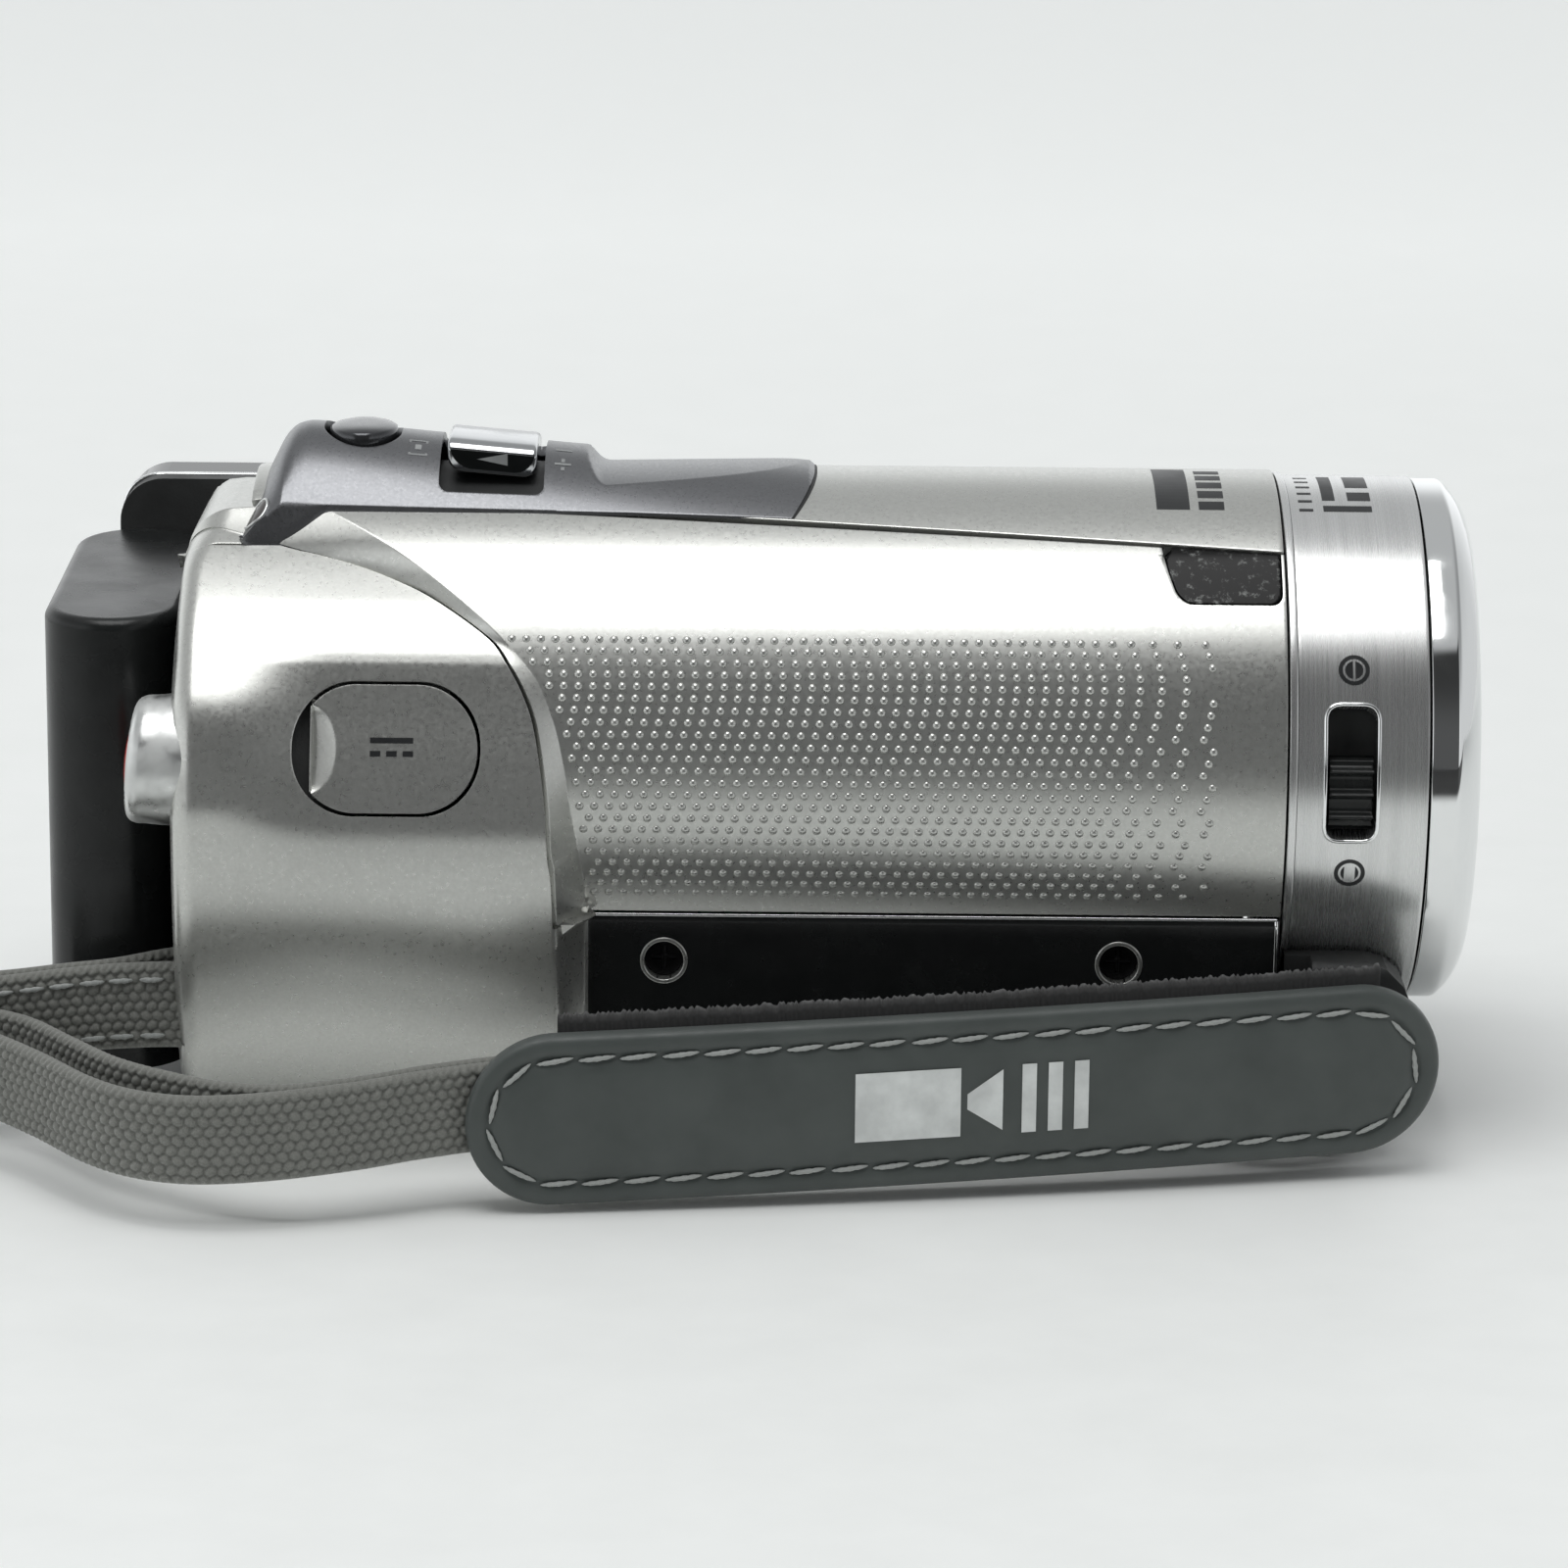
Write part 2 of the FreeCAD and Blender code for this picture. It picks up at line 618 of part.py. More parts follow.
def dc_cover():
    cover = bulge().common(dc_outline(0, (-40, 0)))
    inner = bulge()
    inner.translate(V(0, DC_SKIN, 0))
    return largest(cover.cut(inner))


def jack_block():
    return box(about(JACK[0], 9), (-19.4, -9.0), about(JACK[1], 8))


def dc_jack():
    bore = rod(JACK_R, V(JACK[0], -20, JACK[1]), V(JACK[0], -10.5, JACK[1]))
    pin = rod(JACK_PIN_R, V(JACK[0], -18, JACK[1]), V(JACK[0], -10.5, JACK[1]))
    return jack_block().cut(bore).fuse(pin)


def key(x):
    cap = rod(KEY_R, V(x, LEFT_Y - WALL, KEY_Z), V(x, LEFT_Y - 0.1, KEY_Z))
    flange = rod(KEY_R + 0.8, V(x, LEFT_Y - WALL - 0.9, KEY_Z), V(x, LEFT_Y - WALL - 0.1, KEY_Z))
    neck = rod(KEY_R, V(x, LEFT_Y - WALL - 0.5, KEY_Z), V(x, LEFT_Y - WALL, KEY_Z))
    return fuse([cap, neck, flange])


def speaker():
    x, z = SPEAKER
    return rod(SPEAKER_R, V(x, 13.4, z), V(x, LEFT_Y - WALL - 0.1, z))


def microphones():
    capsules = []
    for side in (-1, 1):
        a = math.radians(46)
        way = V(0, side * math.cos(a), math.sin(a))
        axis = V(34.0, 0, AXIS_Z)
        capsules.append(rod(2.2, axis + way * 15.2, axis + way * 19.3))
    return Part.makeCompound(capsules)


def mic_window(side):
    front = barrel((LEFT_STEP_X, FRONT_X), 0, False).cut(cavity())
    reach = (-30, 0) if side < 0 else (0, 30)
    piece = front.common(prism_y(window_outline(0), reach))
    return largest(piece)


def lcd_back_cover():
    cover = rounded_box(LCD_X, (LCD_SPLIT_Y + 0.05, LCD_Y[1]), LCD_Z, LCD_CORNER, Y_DIR)
    rims = [e for e in cover.Edges if e.BoundBox.YMin > LCD_Y[1] - 0.01]
    cover = cover.makeFillet(1.4, rims)
    inside = box(grow(LCD_X, -1.3), (LCD_SPLIT_Y - 1, LCD_Y[1] - 1.4), grow(LCD_Z, -1.3))
    return cover.cut(inside)


def lcd_bezel():
    bezel = rounded_box(LCD_X, (LCD_Y[0], LCD_SPLIT_Y - 0.05), LCD_Z, LCD_CORNER, Y_DIR)
    return bezel.cut(box(LCD_VIEW_X, (10, 30), LCD_VIEW_Z))


def lcd_glass():
    return box(grow(LCD_VIEW_X, -0.1), (LCD_Y[0] + 0.2, LCD_SPLIT_Y - 0.4), grow(LCD_VIEW_Z, -0.1))


def hinge_block():
    drum = rod(HINGE_R, V(*HINGE, HINGE_Z[0]), V(*HINGE, HINGE_Z[1]))
    arm = box((LCD_X[1] + 0.05, HINGE[0]), (HINGE[1] - HINGE_R, HINGE[1] + HINGE_R), HINGE_Z)
    return drum.fuse(arm).cut(rod(HINGE_PIN_R + RUNNING, V(*HINGE, 0), V(*HINGE, 50)))


def hinge_pin():
    return rod(HINGE_PIN_R, V(*HINGE, HINGE_Z[0] - 3.5), V(*HINGE, HINGE_Z[1] + 3.5))


def knuckle(z):
    block = rounded_box((16.7, 24.3), (LEFT_Y + 0.05, 25.9), z, 1.2, Z_DIR)
    return block.cut(hinge_pin())


def ribbon(points, thickness):
    """A strap of upright rectangles through (x, y, middle height), as one ruled solid."""
    wires = []
    for i, (x, y, z) in enumerate(points):
        before = points[max(i - 1, 0)]
        after = points[min(i + 1, len(points) - 1)]
        along = V(after[0] - before[0], after[1] - before[1], 0).normalize()
        side = V(-along.y, along.x, 0) * (thickness / 2)
        up = V(0, 0, WEB[0] / 2)
        mid = V(x, y, z)
        corners = [mid + side + up, mid + side - up, mid - side - up, mid - side + up]
        wires.append(Part.makePolygon(corners + [corners[0]]))
    return Part.makeLoft(wires, True, True)


def bar_turn(bar, radius, start, end, z, steps=8):
    """Points round a strap bar from one angle to another, in degrees."""
    points = []
    for i in range(steps + 1):
        a = math.radians(start + (end - start) * i / steps)
        points.append((bar[0] + radius * math.cos(a), bar[1] + radius * math.sin(a), z))
    return points


def strap_tail():
    """The ribbon that wraps the rear bar and is sewn to the start of the loop."""
    z = 12.4
    points = bar_turn(REAR_BAR, TURN_R, 90, -90, z)
    tail = [(-47.5, -19.6, z), (-51.0, -18.3 - LAYER, 12.0), (-56.0, -17.2 - LAYER, 11.0),
            (-61.0, -16.6 - LAYER, 9.8)]
    return ribbon(points + tail, WEB[1])


def strap_loop():
    z = 12.4
    head = [(-46.4, -15.7, z), (-48.4, -16.2, z), (-51.0, -18.3 + LAYER, 12.0), (-56.0, -17.2 + LAYER, 11.0),
            (-61.0, -16.6 + LAYER, 9.8), (-68.0, -15.6, 8.8), (-72.4, -17.6, 8.3), (-73.2, -21.0, 8.0),
            (-71.0, -23.6, 7.9), (-66.0, -25.0, 7.8), (-60.0, -27.0, 7.8), (-54.0, -32.0, 7.8),
            (-48.0, -37.8, 7.8), (-42.0, -41.0, 7.8), (-36.0, -41.6, 7.8), (-30.0, -40.2, 7.9),
            (-25.0, -38.9, 8.0)]
    return ribbon(head, WEB[1])


def pad_y(x):
    share = (x - PAD_X[0]) / (PAD_X[1] - PAD_X[0])
    return PAD_REAR_Y + (PAD_FRONT_Y - PAD_REAR_Y) * share - PAD_BOW * 4 * share * (1 - share)


def pad_layer(inner, outer, x, z, radius):
    """A bowed plate that follows the pad's line, between two offsets from its outer face."""
    steps = 12
    xs = [x[0] + (x[1] - x[0]) * i / steps for i in range(steps + 1)]
    near = [V(px, pad_y(px) + outer, z[0]) for px in xs]
    far = [V(px, pad_y(px) + inner, z[0]) for px in reversed(xs)]
    plate = polygon(near + far).extrude(V(0, 0, z[1] - z[0]))
    plate = plate.common(rounded_box(x, (-60, 0), z, radius, Y_DIR))
    plate.rotate(V(PAD_X[1], 0, (PAD_Z[0] + PAD_Z[1]) / 2), Y_DIR, -PAD_DROOP)
    return plate


def strap_pad():
    return pad_layer(PAD_THICK, 0.0, PAD_X, PAD_Z, (PAD_Z[1] - PAD_Z[0]) / 2 - 0.05)


def strap_lining():
    return pad_layer(LINING_OFFSET[1], LINING_OFFSET[0], LINING_X, LINING_Z, 1.5)


def strap_front_end():
    z = 8.4
    turn = bar_turn(FRONT_BAR, TURN_R, -90, 90, z)
    head = [(34.0, pad_y(34.0) + 4.7, z), (38.5, -23.1, z), (42.0, -21.6, z)]
    return ribbon(head + turn, WEB[1])


NODES = {
    "side_cover": side_cover, "top_cover": top_cover, "rear_top_cover": rear_top_cover,
    "right_shell": right_shell, "left_cover": left_cover, "base_cover": base_cover,
    "rear_panel": rear_panel, "front_bracket": front_bracket, "control_deck": control_deck,
    "chassis_frame": chassis_frame, "tripod_socket": tripod_socket, "side_screws": side_screws,
    "base_screws": base_screws, "main_board": main_board, "sensor_mount": sensor_mount,
    "sensor_board": sensor_board, "lens_tube": lens_tube, "guide_rods": guide_rods,
    "front_lens": lambda: lens(TUBE_IN_R, (38.4, 42.4), 2.2),
    "zoom_cell": lambda: lens_cell(TUBE_IN_R - RUNNING, 9.0, (20.0, 25.0)),
    "zoom_lens": lambda: lens(9.0, (20.4, 23.0), 1.6),
    "focus_cell": lambda: lens_cell(TUBE_IN_R - RUNNING, 8.0, (9.0, 13.0)),
    "focus_lens": lambda: lens(8.0, (9.3, 11.2), 1.4),
    "trim_ring": lambda: tube(BARREL_R - 0.2, RING_IN_R, (FRONT_X + GAP, RING_X[0] - 0.05)),
    "satin_ring": satin_ring, "chrome_ring": chrome_ring, "front_bezel": lambda: aperture_plate(BEZEL_X),
    "barrier_plate": lambda: aperture_plate(BARRIER_X), "drive_ring": drive_ring, "cover_knob": cover_knob,
    "blade_upper": lambda: blade(1), "blade_lower": lambda: blade(-1),
    "mic_windows": lambda: Part.makeCompound([mic_window(-1), mic_window(1)]),
    "microphones": microphones, "speaker": speaker, "record_button": record_button,
    "record_dot": record_dot, "shutter_button": shutter_button, "zoom_lever": zoom_lever,
    "status_lamp": lambda: lamp(0), "dc_cover": dc_cover, "dc_jack": dc_jack,
    "battery_pack": battery_pack, "battery_terminal": battery_terminal,
    "battery_latch": battery_latch, "card_door": card_door, "card_slot": card_slot,
    "lcd_back_cover": lcd_back_cover, "lcd_bezel": lcd_bezel, "lcd_glass": lcd_glass,
    "lcd_hinge_block": hinge_block, "lcd_hinge_pin": hinge_pin,
    "hinge_knuckles": lambda: Part.makeCompound([knuckle(z) for z in KNUCKLE_Z]),
    "key_rear": lambda: key(KEY_X[0]), "key_middle": lambda: key(KEY_X[1]),
    "key_front": lambda: key(KEY_X[2]),
    "strap_bars": lambda: Part.makeCompound([rear_bar(), front_bar()]), "strap_pad": strap_pad,
    "strap_lining": strap_lining,
    "strap_webbing": lambda: Part.makeCompound([strap_tail(), strap_loop(), strap_front_end()]),
}


def main():
    os.makedirs("parts", exist_ok=True)
    for name, make in NODES.items():
        shape = make()
        print(name, shape.ShapeType, len(shape.Solids), round(shape.Volume, 1), shape.isValid())
        shape.exportStep("parts/" + name + ".step")


main()
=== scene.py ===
import json
import math
import random

import bmesh
import bpy
import numpy as np
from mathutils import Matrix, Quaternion, Vector


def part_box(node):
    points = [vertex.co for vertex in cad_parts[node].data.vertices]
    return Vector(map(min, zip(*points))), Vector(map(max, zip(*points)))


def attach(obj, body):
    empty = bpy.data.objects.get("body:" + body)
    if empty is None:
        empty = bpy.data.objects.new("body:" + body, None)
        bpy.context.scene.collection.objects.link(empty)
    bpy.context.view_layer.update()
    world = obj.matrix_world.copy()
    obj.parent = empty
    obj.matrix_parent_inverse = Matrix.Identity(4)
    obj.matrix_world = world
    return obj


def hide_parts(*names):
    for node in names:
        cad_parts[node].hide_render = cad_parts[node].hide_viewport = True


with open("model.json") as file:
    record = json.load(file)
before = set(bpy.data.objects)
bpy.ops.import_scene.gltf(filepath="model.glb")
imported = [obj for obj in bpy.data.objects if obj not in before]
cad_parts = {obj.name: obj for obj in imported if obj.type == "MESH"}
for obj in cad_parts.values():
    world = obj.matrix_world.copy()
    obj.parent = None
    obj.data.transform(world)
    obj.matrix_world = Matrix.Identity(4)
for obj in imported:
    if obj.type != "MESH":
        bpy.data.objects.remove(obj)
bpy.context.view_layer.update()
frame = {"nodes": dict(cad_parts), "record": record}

MM = 0.001
dice = random.Random(11)


# ---------------------------------------------------------------- sizes, in millimetres

def extent(node):
    """The lowest and highest corner of a CAD node, in millimetres."""
    low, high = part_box(node)
    return low / MM, high / MM


ring_low, ring_high = extent("satin_ring")
AXIS_Z = (ring_low.z + ring_high.z) / 2
RING_R = (ring_high.y - ring_low.y) / 2
RING_X = (ring_low.x, ring_high.x)
BARREL_R = extent("top_cover")[1].z - AXIS_Z
COVER_FRONT_X = extent("side_cover")[1].x
REAR_X = extent("right_shell")[0].x
PANEL_FOOT_Z = extent("side_cover")[0].z
SIDE_Y = 18.5                    # the flat lower wall
CORNER = 3.0                     # its rounded foot
BASE_EDGE_Y = 14.5               # where the right shell meets the base cover
LEFT_SPLIT_DEG = 116.0           # where the top cover meets the left cover
GAP = 0.16                       # half of a parting line
SKIN = 1.1                       # thickness of a visual shell
LIP = 0.34                       # the lower panel stands out this far under the side cover
REAR_TOP_Z = 47.1                # flat top of the small rear cover

# The thumb bulge's section, as (y, z): its top, its shoulder at the rear and near the seam, and its foot
BULGE_TOP = ((0, 49.4), (-4.5, 48.2), (-9.7, 45.9), (-14.9, 42.75))
SHOULDER_REAR = ((-18.2, 40.2), (-20.6, 37.6), (-22.35, 35.1), (-23.4, 32.4), (-23.95, 29.4), (-24.1, 26.4))
SHOULDER_FRONT = ((-17.3, 40.95), (-18.55, 39.8), (-19.3, 38.8), (-19.8, 37.8), (-21.1, 34.5), (-22.4, 31.3),
                  (-23.4, 28.2), (-23.9, 25.2))
BULGE_FOOT = ((-23.4, 18), (-21.2, 9), (-18.2, 3.6), (-14, 0.3))
GROOVE = 0.34                              # the side cover's rear edge dips this much to the seam
SHOULDER_X = (-44.0, -33.5)                # where the rear shoulder turns into the front one
# (degrees above the axis, x) of the seam behind the side cover, and of the crease in front of it
SEAM = ((-40, -17.3), (-17, -17.6), (-10.7, -17.9), (-2.3, -18.1), (7.3, -18.6), (15.2, -19.2),
        (21.4, -20.1), (26.6, -21.2), (31.7, -22.5), (39.2, -25.6), (45.2, -28.4), (50.9, -31.9),
        (55.4, -35.6), (59, -39.2), (70, -48))
CREASE = ((-40, -15.3), (-20, -15.4), (-6.4, -16.2), (4.1, -16.8), (14.2, -17.6), (22.3, -18.8), (28, -20.3),
          (34.7, -22.6), (42.4, -25.6), (53.8, -30.3), (66.7, -36.1), (75, -40))
PANEL_START_X = -15.3                       # the lower panel starts in front of the bulge; its near-black colour is a painted reflection of the dark pad and lining
REAR_SEAM_DEG = 59.0                        # where the right shell ends under the small rear top cover
RIDGE = ((-36.0, 71.3), (38.5, 54.9))      # (x, degrees) of the line between side and top cover
REAR_ROUND_SIDE = 1.9                      # rounding of the rear rim, on the bulge and at the top
REAR_ROUND_TOP = 4.0


# ---------------------------------------------------------------- small maths

def smooth_path(points, per_span=16):
    """Catmull-Rom points through a list of points of any size."""
    p = np.array(points, float)
    p = np.vstack([2 * p[0] - p[1], p, 2 * p[-1] - p[-2]])
    out = []
    for i in range(1, len(p) - 2):
        t = np.linspace(0, 1, per_span, endpoint=False)[:, None]
        a, b, c, d = p[i - 1], p[i], p[i + 1], p[i + 2]
        out.append(0.5 * (2 * b + (c - a) * t + (2 * a - 5 * b + 4 * c - d) * t ** 2
                          + (3 * b - a - 3 * c + d) * t ** 3))
    out.append(p[-2][None, :])
    return np.vstack(out)


def smoothstep(low, high, value):
    t = np.clip((value - low) / (high - low), 0, 1)
    return t * t * (3 - 2 * t)


def polar(points):
    """(angle above the axis, radius) of a right-hand section given as (y, z) points."""
    p = np.array(points, float)
    angle = np.degrees(np.arctan2(p[:, 1] - AXIS_Z, -p[:, 0]))
    radius = np.hypot(p[:, 0], p[:, 1] - AXIS_Z)
    order = np.argsort(angle)
    return angle[order], radius[order]


def barrel_section():
    turn = np.radians(np.linspace(90, -math.degrees(math.acos(SIDE_Y / BARREL_R)), 200))
    points = [(-BARREL_R * math.cos(a), AXIS_Z + BARREL_R * math.sin(a)) for a in turn]
    foot = np.radians(np.linspace(180, 270, 24))
    points += [(-SIDE_Y + CORNER + CORNER * math.cos(a), CORNER + CORNER * math.sin(a)) for a in foot]
    points += [(y, 0.0) for y in np.linspace(-SIDE_Y + CORNER, -0.5, 30)[1:]]
    wall = [(-SIDE_Y, z) for z in np.linspace(18, CORNER, 40)]
    return polar(points + wall)


BARREL_TABLE = barrel_section()
FLAT_BASE = [(y, 0.1) for y in np.linspace(-13, -0.5, 20)]
BULGE_TABLES = [polar(list(smooth_path(BULGE_TOP + shoulder + BULGE_FOOT)) + FLAT_BASE)
                for shoulder in (SHOULDER_REAR, SHOULDER_FRONT)]
SEAM_TABLE = smooth_path(SEAM)
CREASE_TABLE = smooth_path(CREASE)


def seam_x(angle):
    return np.interp(angle, SEAM_TABLE[:, 0], SEAM_TABLE[:, 1])


def crease_x(angle):
    return np.interp(angle, CREASE_TABLE[:, 0], CREASE_TABLE[:, 1])


def ridge_angle(x):
    return np.interp(x, [RIDGE[0][0], RIDGE[1][0]], [RIDGE[0][1], RIDGE[1][1]])


def body_radius(x, angle, left=0.0):
    """The body's outer radius about the lens axis. The bulge runs down a ramp to the barrel.

    left is 1 on the left side, where there is no bulge.
    """
    plain = np.interp(angle, *BARREL_TABLE)
    rear, front = [np.interp(angle, *section) for section in BULGE_TABLES]
    full = rear + (front - rear) * smoothstep(SHOULDER_X[0], SHOULDER_X[1], x)
    start = seam_x(angle)
    share = np.clip((x - start) / (crease_x(angle) - start), 0, 1)
    radius = full + (plain - full) * np.maximum(share, left)
    groove = GROOVE * smoothstep(18, 32, angle) * (1 - smoothstep(50, 60, angle)) * (1 - left)
    radius = radius - groove * np.where(x > start, 1 - share, 0)
    rounding = REAR_ROUND_SIDE + (REAR_ROUND_TOP - REAR_ROUND_SIDE) * smoothstep(50, 76, angle)
    depth = np.clip(REAR_X + rounding - x, 0, rounding)
    return radius - (rounding - np.sqrt(rounding ** 2 - depth ** 2))


def body_point(x, angle, lift=0.0):
    x, angle = np.broadcast_arrays(np.asarray(x, float), np.asarray(angle, float))
    mirrored = np.where(angle > 90, 180 - angle, angle)
    radius = body_radius(x, mirrored, smoothstep(92, 110, angle)) + lift
    a = np.radians(angle)
    return np.stack([x, -radius * np.cos(a), AXIS_Z + radius * np.sin(a)], axis=-1)


def angle_at_z(x, z):
    """The angle at which the body's surface is at height z."""
    angle = np.full(np.shape(x), -20.0)
    for _ in range(30):
        angle = np.degrees(np.arcsin(np.clip((z - AXIS_Z) / body_radius(x, angle), -1, 1)))
    return angle


# ---------------------------------------------------------------- mesh helpers

def make_object(name, points, faces):
    """A smooth-shaded mesh object from millimetre points."""
    mesh = bpy.data.meshes.new(name)
    mesh.from_pydata([tuple(p) for p in np.asarray(points, float).reshape(-1, 3) * MM], [], faces)
    mesh.validate()
    mesh.polygons.foreach_set("use_smooth", [True] * len(mesh.polygons))
    obj = bpy.data.objects.new(name, mesh)
    bpy.context.scene.collection.objects.link(obj)
    return obj


def grid_faces(rows, cols, wrap_rows=False, wrap_cols=False):
    """The quads of a grid of points, row after row."""
    faces = []
    for r in range(rows if wrap_rows else rows - 1):
        for c in range(cols if wrap_cols else cols - 1):
            n, m = (r + 1) % rows, (c + 1) % cols
            faces.append((r * cols + c, r * cols + m, n * cols + m, n * cols + c))
    return faces


def ring_caps(rows, count, back=True):
    """The first and last row of a grid of rings as faces, the first one turned to look back."""
    last = (rows - 1) * count
    first = range(count - 1, -1, -1) if back else range(count)
    return [tuple(first), tuple(range(last, last + count))]


def strip_ends(rows, cols):
    """The two end faces of a tube whose rows run along it."""
    near = [i * cols for i in range(rows)]
    return [tuple(near), tuple(i + cols - 1 for i in reversed(near))]


def outward(points, faces):
    """Turns all the faces over if most of them look towards the lens axis."""
    p = np.asarray(points, float).reshape(-1, 3)
    total = 0.0
    for face in faces[::max(1, len(faces) // 200)]:
        a, b, c = p[face[0]], p[face[1]], p[face[2]]
        middle = (a + b + c) / 3
        away = middle - np.array([middle[0], 0, AXIS_Z])
        total += float(np.dot(np.cross(b - a, c - a), away))
    return faces if total > 0 else [tuple(reversed(f)) for f in faces]


def shell(name, points, keep=None, thickness=SKIN, bevel=0.12):
    """A thick shell from a grid of surface points, with rolled rims."""
    rows, cols = points.shape[:2]
    faces = grid_faces(rows, cols)
    if keep is not None:
        faces = [f for f, wanted in zip(faces, keep.ravel()) if wanted]
    return thicken(make_object(name, points, outward(points, faces)), thickness, bevel)


def thicken(obj, thickness, bevel):
    """Gives a surface its thickness inward, and rolls its rims."""
    weld = obj.modifiers.new("weld", "WELD")
    weld.merge_threshold = 0.004 * MM
    solid = obj.modifiers.new("solid", "SOLIDIFY")
    solid.thickness = thickness * MM
    solid.offset = -1
    if bevel:
        edge = obj.modifiers.new("edge", "BEVEL")
        edge.width = bevel * MM
        edge.segments = 2
        edge.limit_method = "ANGLE"
        edge.angle_limit = math.radians(50)
    view = bpy.context.evaluated_depsgraph_get()
    solid_mesh = bpy.data.meshes.new_from_object(obj.evaluated_get(view))
    obj.modifiers.clear()
    obj.data = solid_mesh
    drop_loose(obj)
    obj.data.polygons.foreach_set("use_smooth", [True] * len(obj.data.polygons))
    return obj


def drop_loose(obj):
    """Deletes the points that no face uses."""
    work = bmesh.new()
    work.from_mesh(obj.data)
    loose = [v for v in work.verts if not v.link_faces]
    bmesh.ops.delete(work, geom=loose, context="VERTS")
    work.to_mesh(obj.data)
    work.free()


def rounded_box_distance(u, v, box, corner):
    """Signed distance from a rounded rectangle, negative inside. box is (u0, u1, v0, v1)."""
    mid_u, mid_v = (box[0] + box[1]) / 2, (box[2] + box[3]) / 2
    du = np.abs(u - mid_u) - ((box[1] - box[0]) / 2 - corner)
    dv = np.abs(v - mid_v) - ((box[3] - box[2]) / 2 - corner)
    outside = np.hypot(np.maximum(du, 0), np.maximum(dv, 0))
    return outside + np.minimum(np.maximum(du, dv), 0) - corner


def snap_to(distance, u, v, keep_inside):
    """Cells to keep, and u, v with the cells' rim pulled onto the outline distance = 0."""
    d = distance(u, v)
    if keep_inside:
        d = -d
    corner_sum = d[:-1, :-1] + d[1:, :-1] + d[:-1, 1:] + d[1:, 1:]
    keep = corner_sum > 0
    kept = np.zeros(d.shape, int)
    for r, c in ((0, 0), (1, 0), (0, 1), (1, 1)):
        kept[r:r + keep.shape[0], c:c + keep.shape[1]] += keep
    whole = np.full(d.shape, 4)
    whole[0, :] = whole[-1, :] = 2
    whole[:, 0] = whole[:, -1] = 2
    whole[0, 0] = whole[0, -1] = whole[-1, 0] = whole[-1, -1] = 1
    rim = (kept > 0) & (kept < whole)
    step = 1e-3
    u, v = u.copy(), v.copy()
    for _ in range(3):
        d = distance(u, v)
        gu = (distance(u + step, v) - d) / step
        gv = (distance(u, v + step) - d) / step
        size = np.maximum(gu ** 2 + gv ** 2, 1e-6)
        u = np.where(rim, u - d * gu / size, u)
        v = np.where(rim, v - d * gv / size, v)
    return keep, u, v


def lathe(name, profile, centre, axis, steps=256, closed=True):
    """Turns (along, radius) points about an axis through centre. Closed profiles make rings."""
    axis = Vector(axis).normalized()
    side = axis.orthogonal().normalized()
    up = axis.cross(side)
    turn = np.linspace(0, 2 * math.pi, steps, endpoint=False)
    centre, axis, side, up = (np.array(v, float) for v in (centre, axis, side, up))
    rows = []
    for along, radius in profile:
        ring = centre + axis * along + radius * (np.cos(turn)[:, None] * side + np.sin(turn)[:, None] * up)
        rows.append(ring)
    points = np.array(rows)
    faces = grid_faces(len(profile), steps, wrap_rows=closed, wrap_cols=True)
    if not closed:
        faces += ring_caps(len(profile), steps)
    return fix_normals(make_object(name, points, faces))


def fix_normals(obj):
    """Joins points that coincide, and turns every face outward."""
    work = bmesh.new()
    work.from_mesh(obj.data)
    bmesh.ops.remove_doubles(work, verts=work.verts, dist=1e-7)
    bmesh.ops.recalc_face_normals(work, faces=work.faces)
    work.to_mesh(obj.data)
    work.free()
    return obj


def rounded_profile(points, radius, steps=5):
    """A closed polygon of (along, radius) points with its corners rounded."""
    out = []
    count = len(points)
    for i, here in enumerate(points):
        here = np.array(here[:2], float)
        r = points[i][2] if len(points[i]) > 2 else radius
        before = np.array(points[i - 1][:2], float)
        after = np.array(points[(i + 1) % count][:2], float)
        a = (before - here) / np.linalg.norm(before - here)
        b = (after - here) / np.linalg.norm(after - here)
        r = min(r, np.linalg.norm(before - here) / 2, np.linalg.norm(after - here) / 2)
        start, end = here + a * r, here + b * r
        for t in np.linspace(0, 1, steps):
            out.append(tuple((1 - t) ** 2 * start + 2 * t * (1 - t) * here + t ** 2 * end))
    return out


def dress(obj, body, material, slot, *nodes):
    """Give a new piece its material and body, and hide the CAD nodes it stands for; the slot is not used."""
    obj.data.materials.clear()
    obj.data.materials.append(material)
    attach(obj, body)
    if nodes:
        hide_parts(*nodes)
    return obj


def join_meshes(name, parts):
    """One object from (points, faces) lists."""
    points, faces, base = [], [], 0
    for p, f in parts:
        points.append(np.asarray(p, float).reshape(-1, 3))
        faces += [tuple(i + base for i in face) for face in f]
        base += len(points[-1])
    return make_object(name, np.vstack(points), faces)


# ---------------------------------------------------------------- materials

def map_range(tree, value, low, high, start, end):
    """A node that maps value from low..high to start..end."""
    node = tree.nodes.new("ShaderNodeMapRange")
    tree.links.new(value, node.inputs["Value"])
    for key, number in (("From Min", low), ("From Max", high), ("To Min", start), ("To Max", end)):
        node.inputs[key].default_value = number
    return node


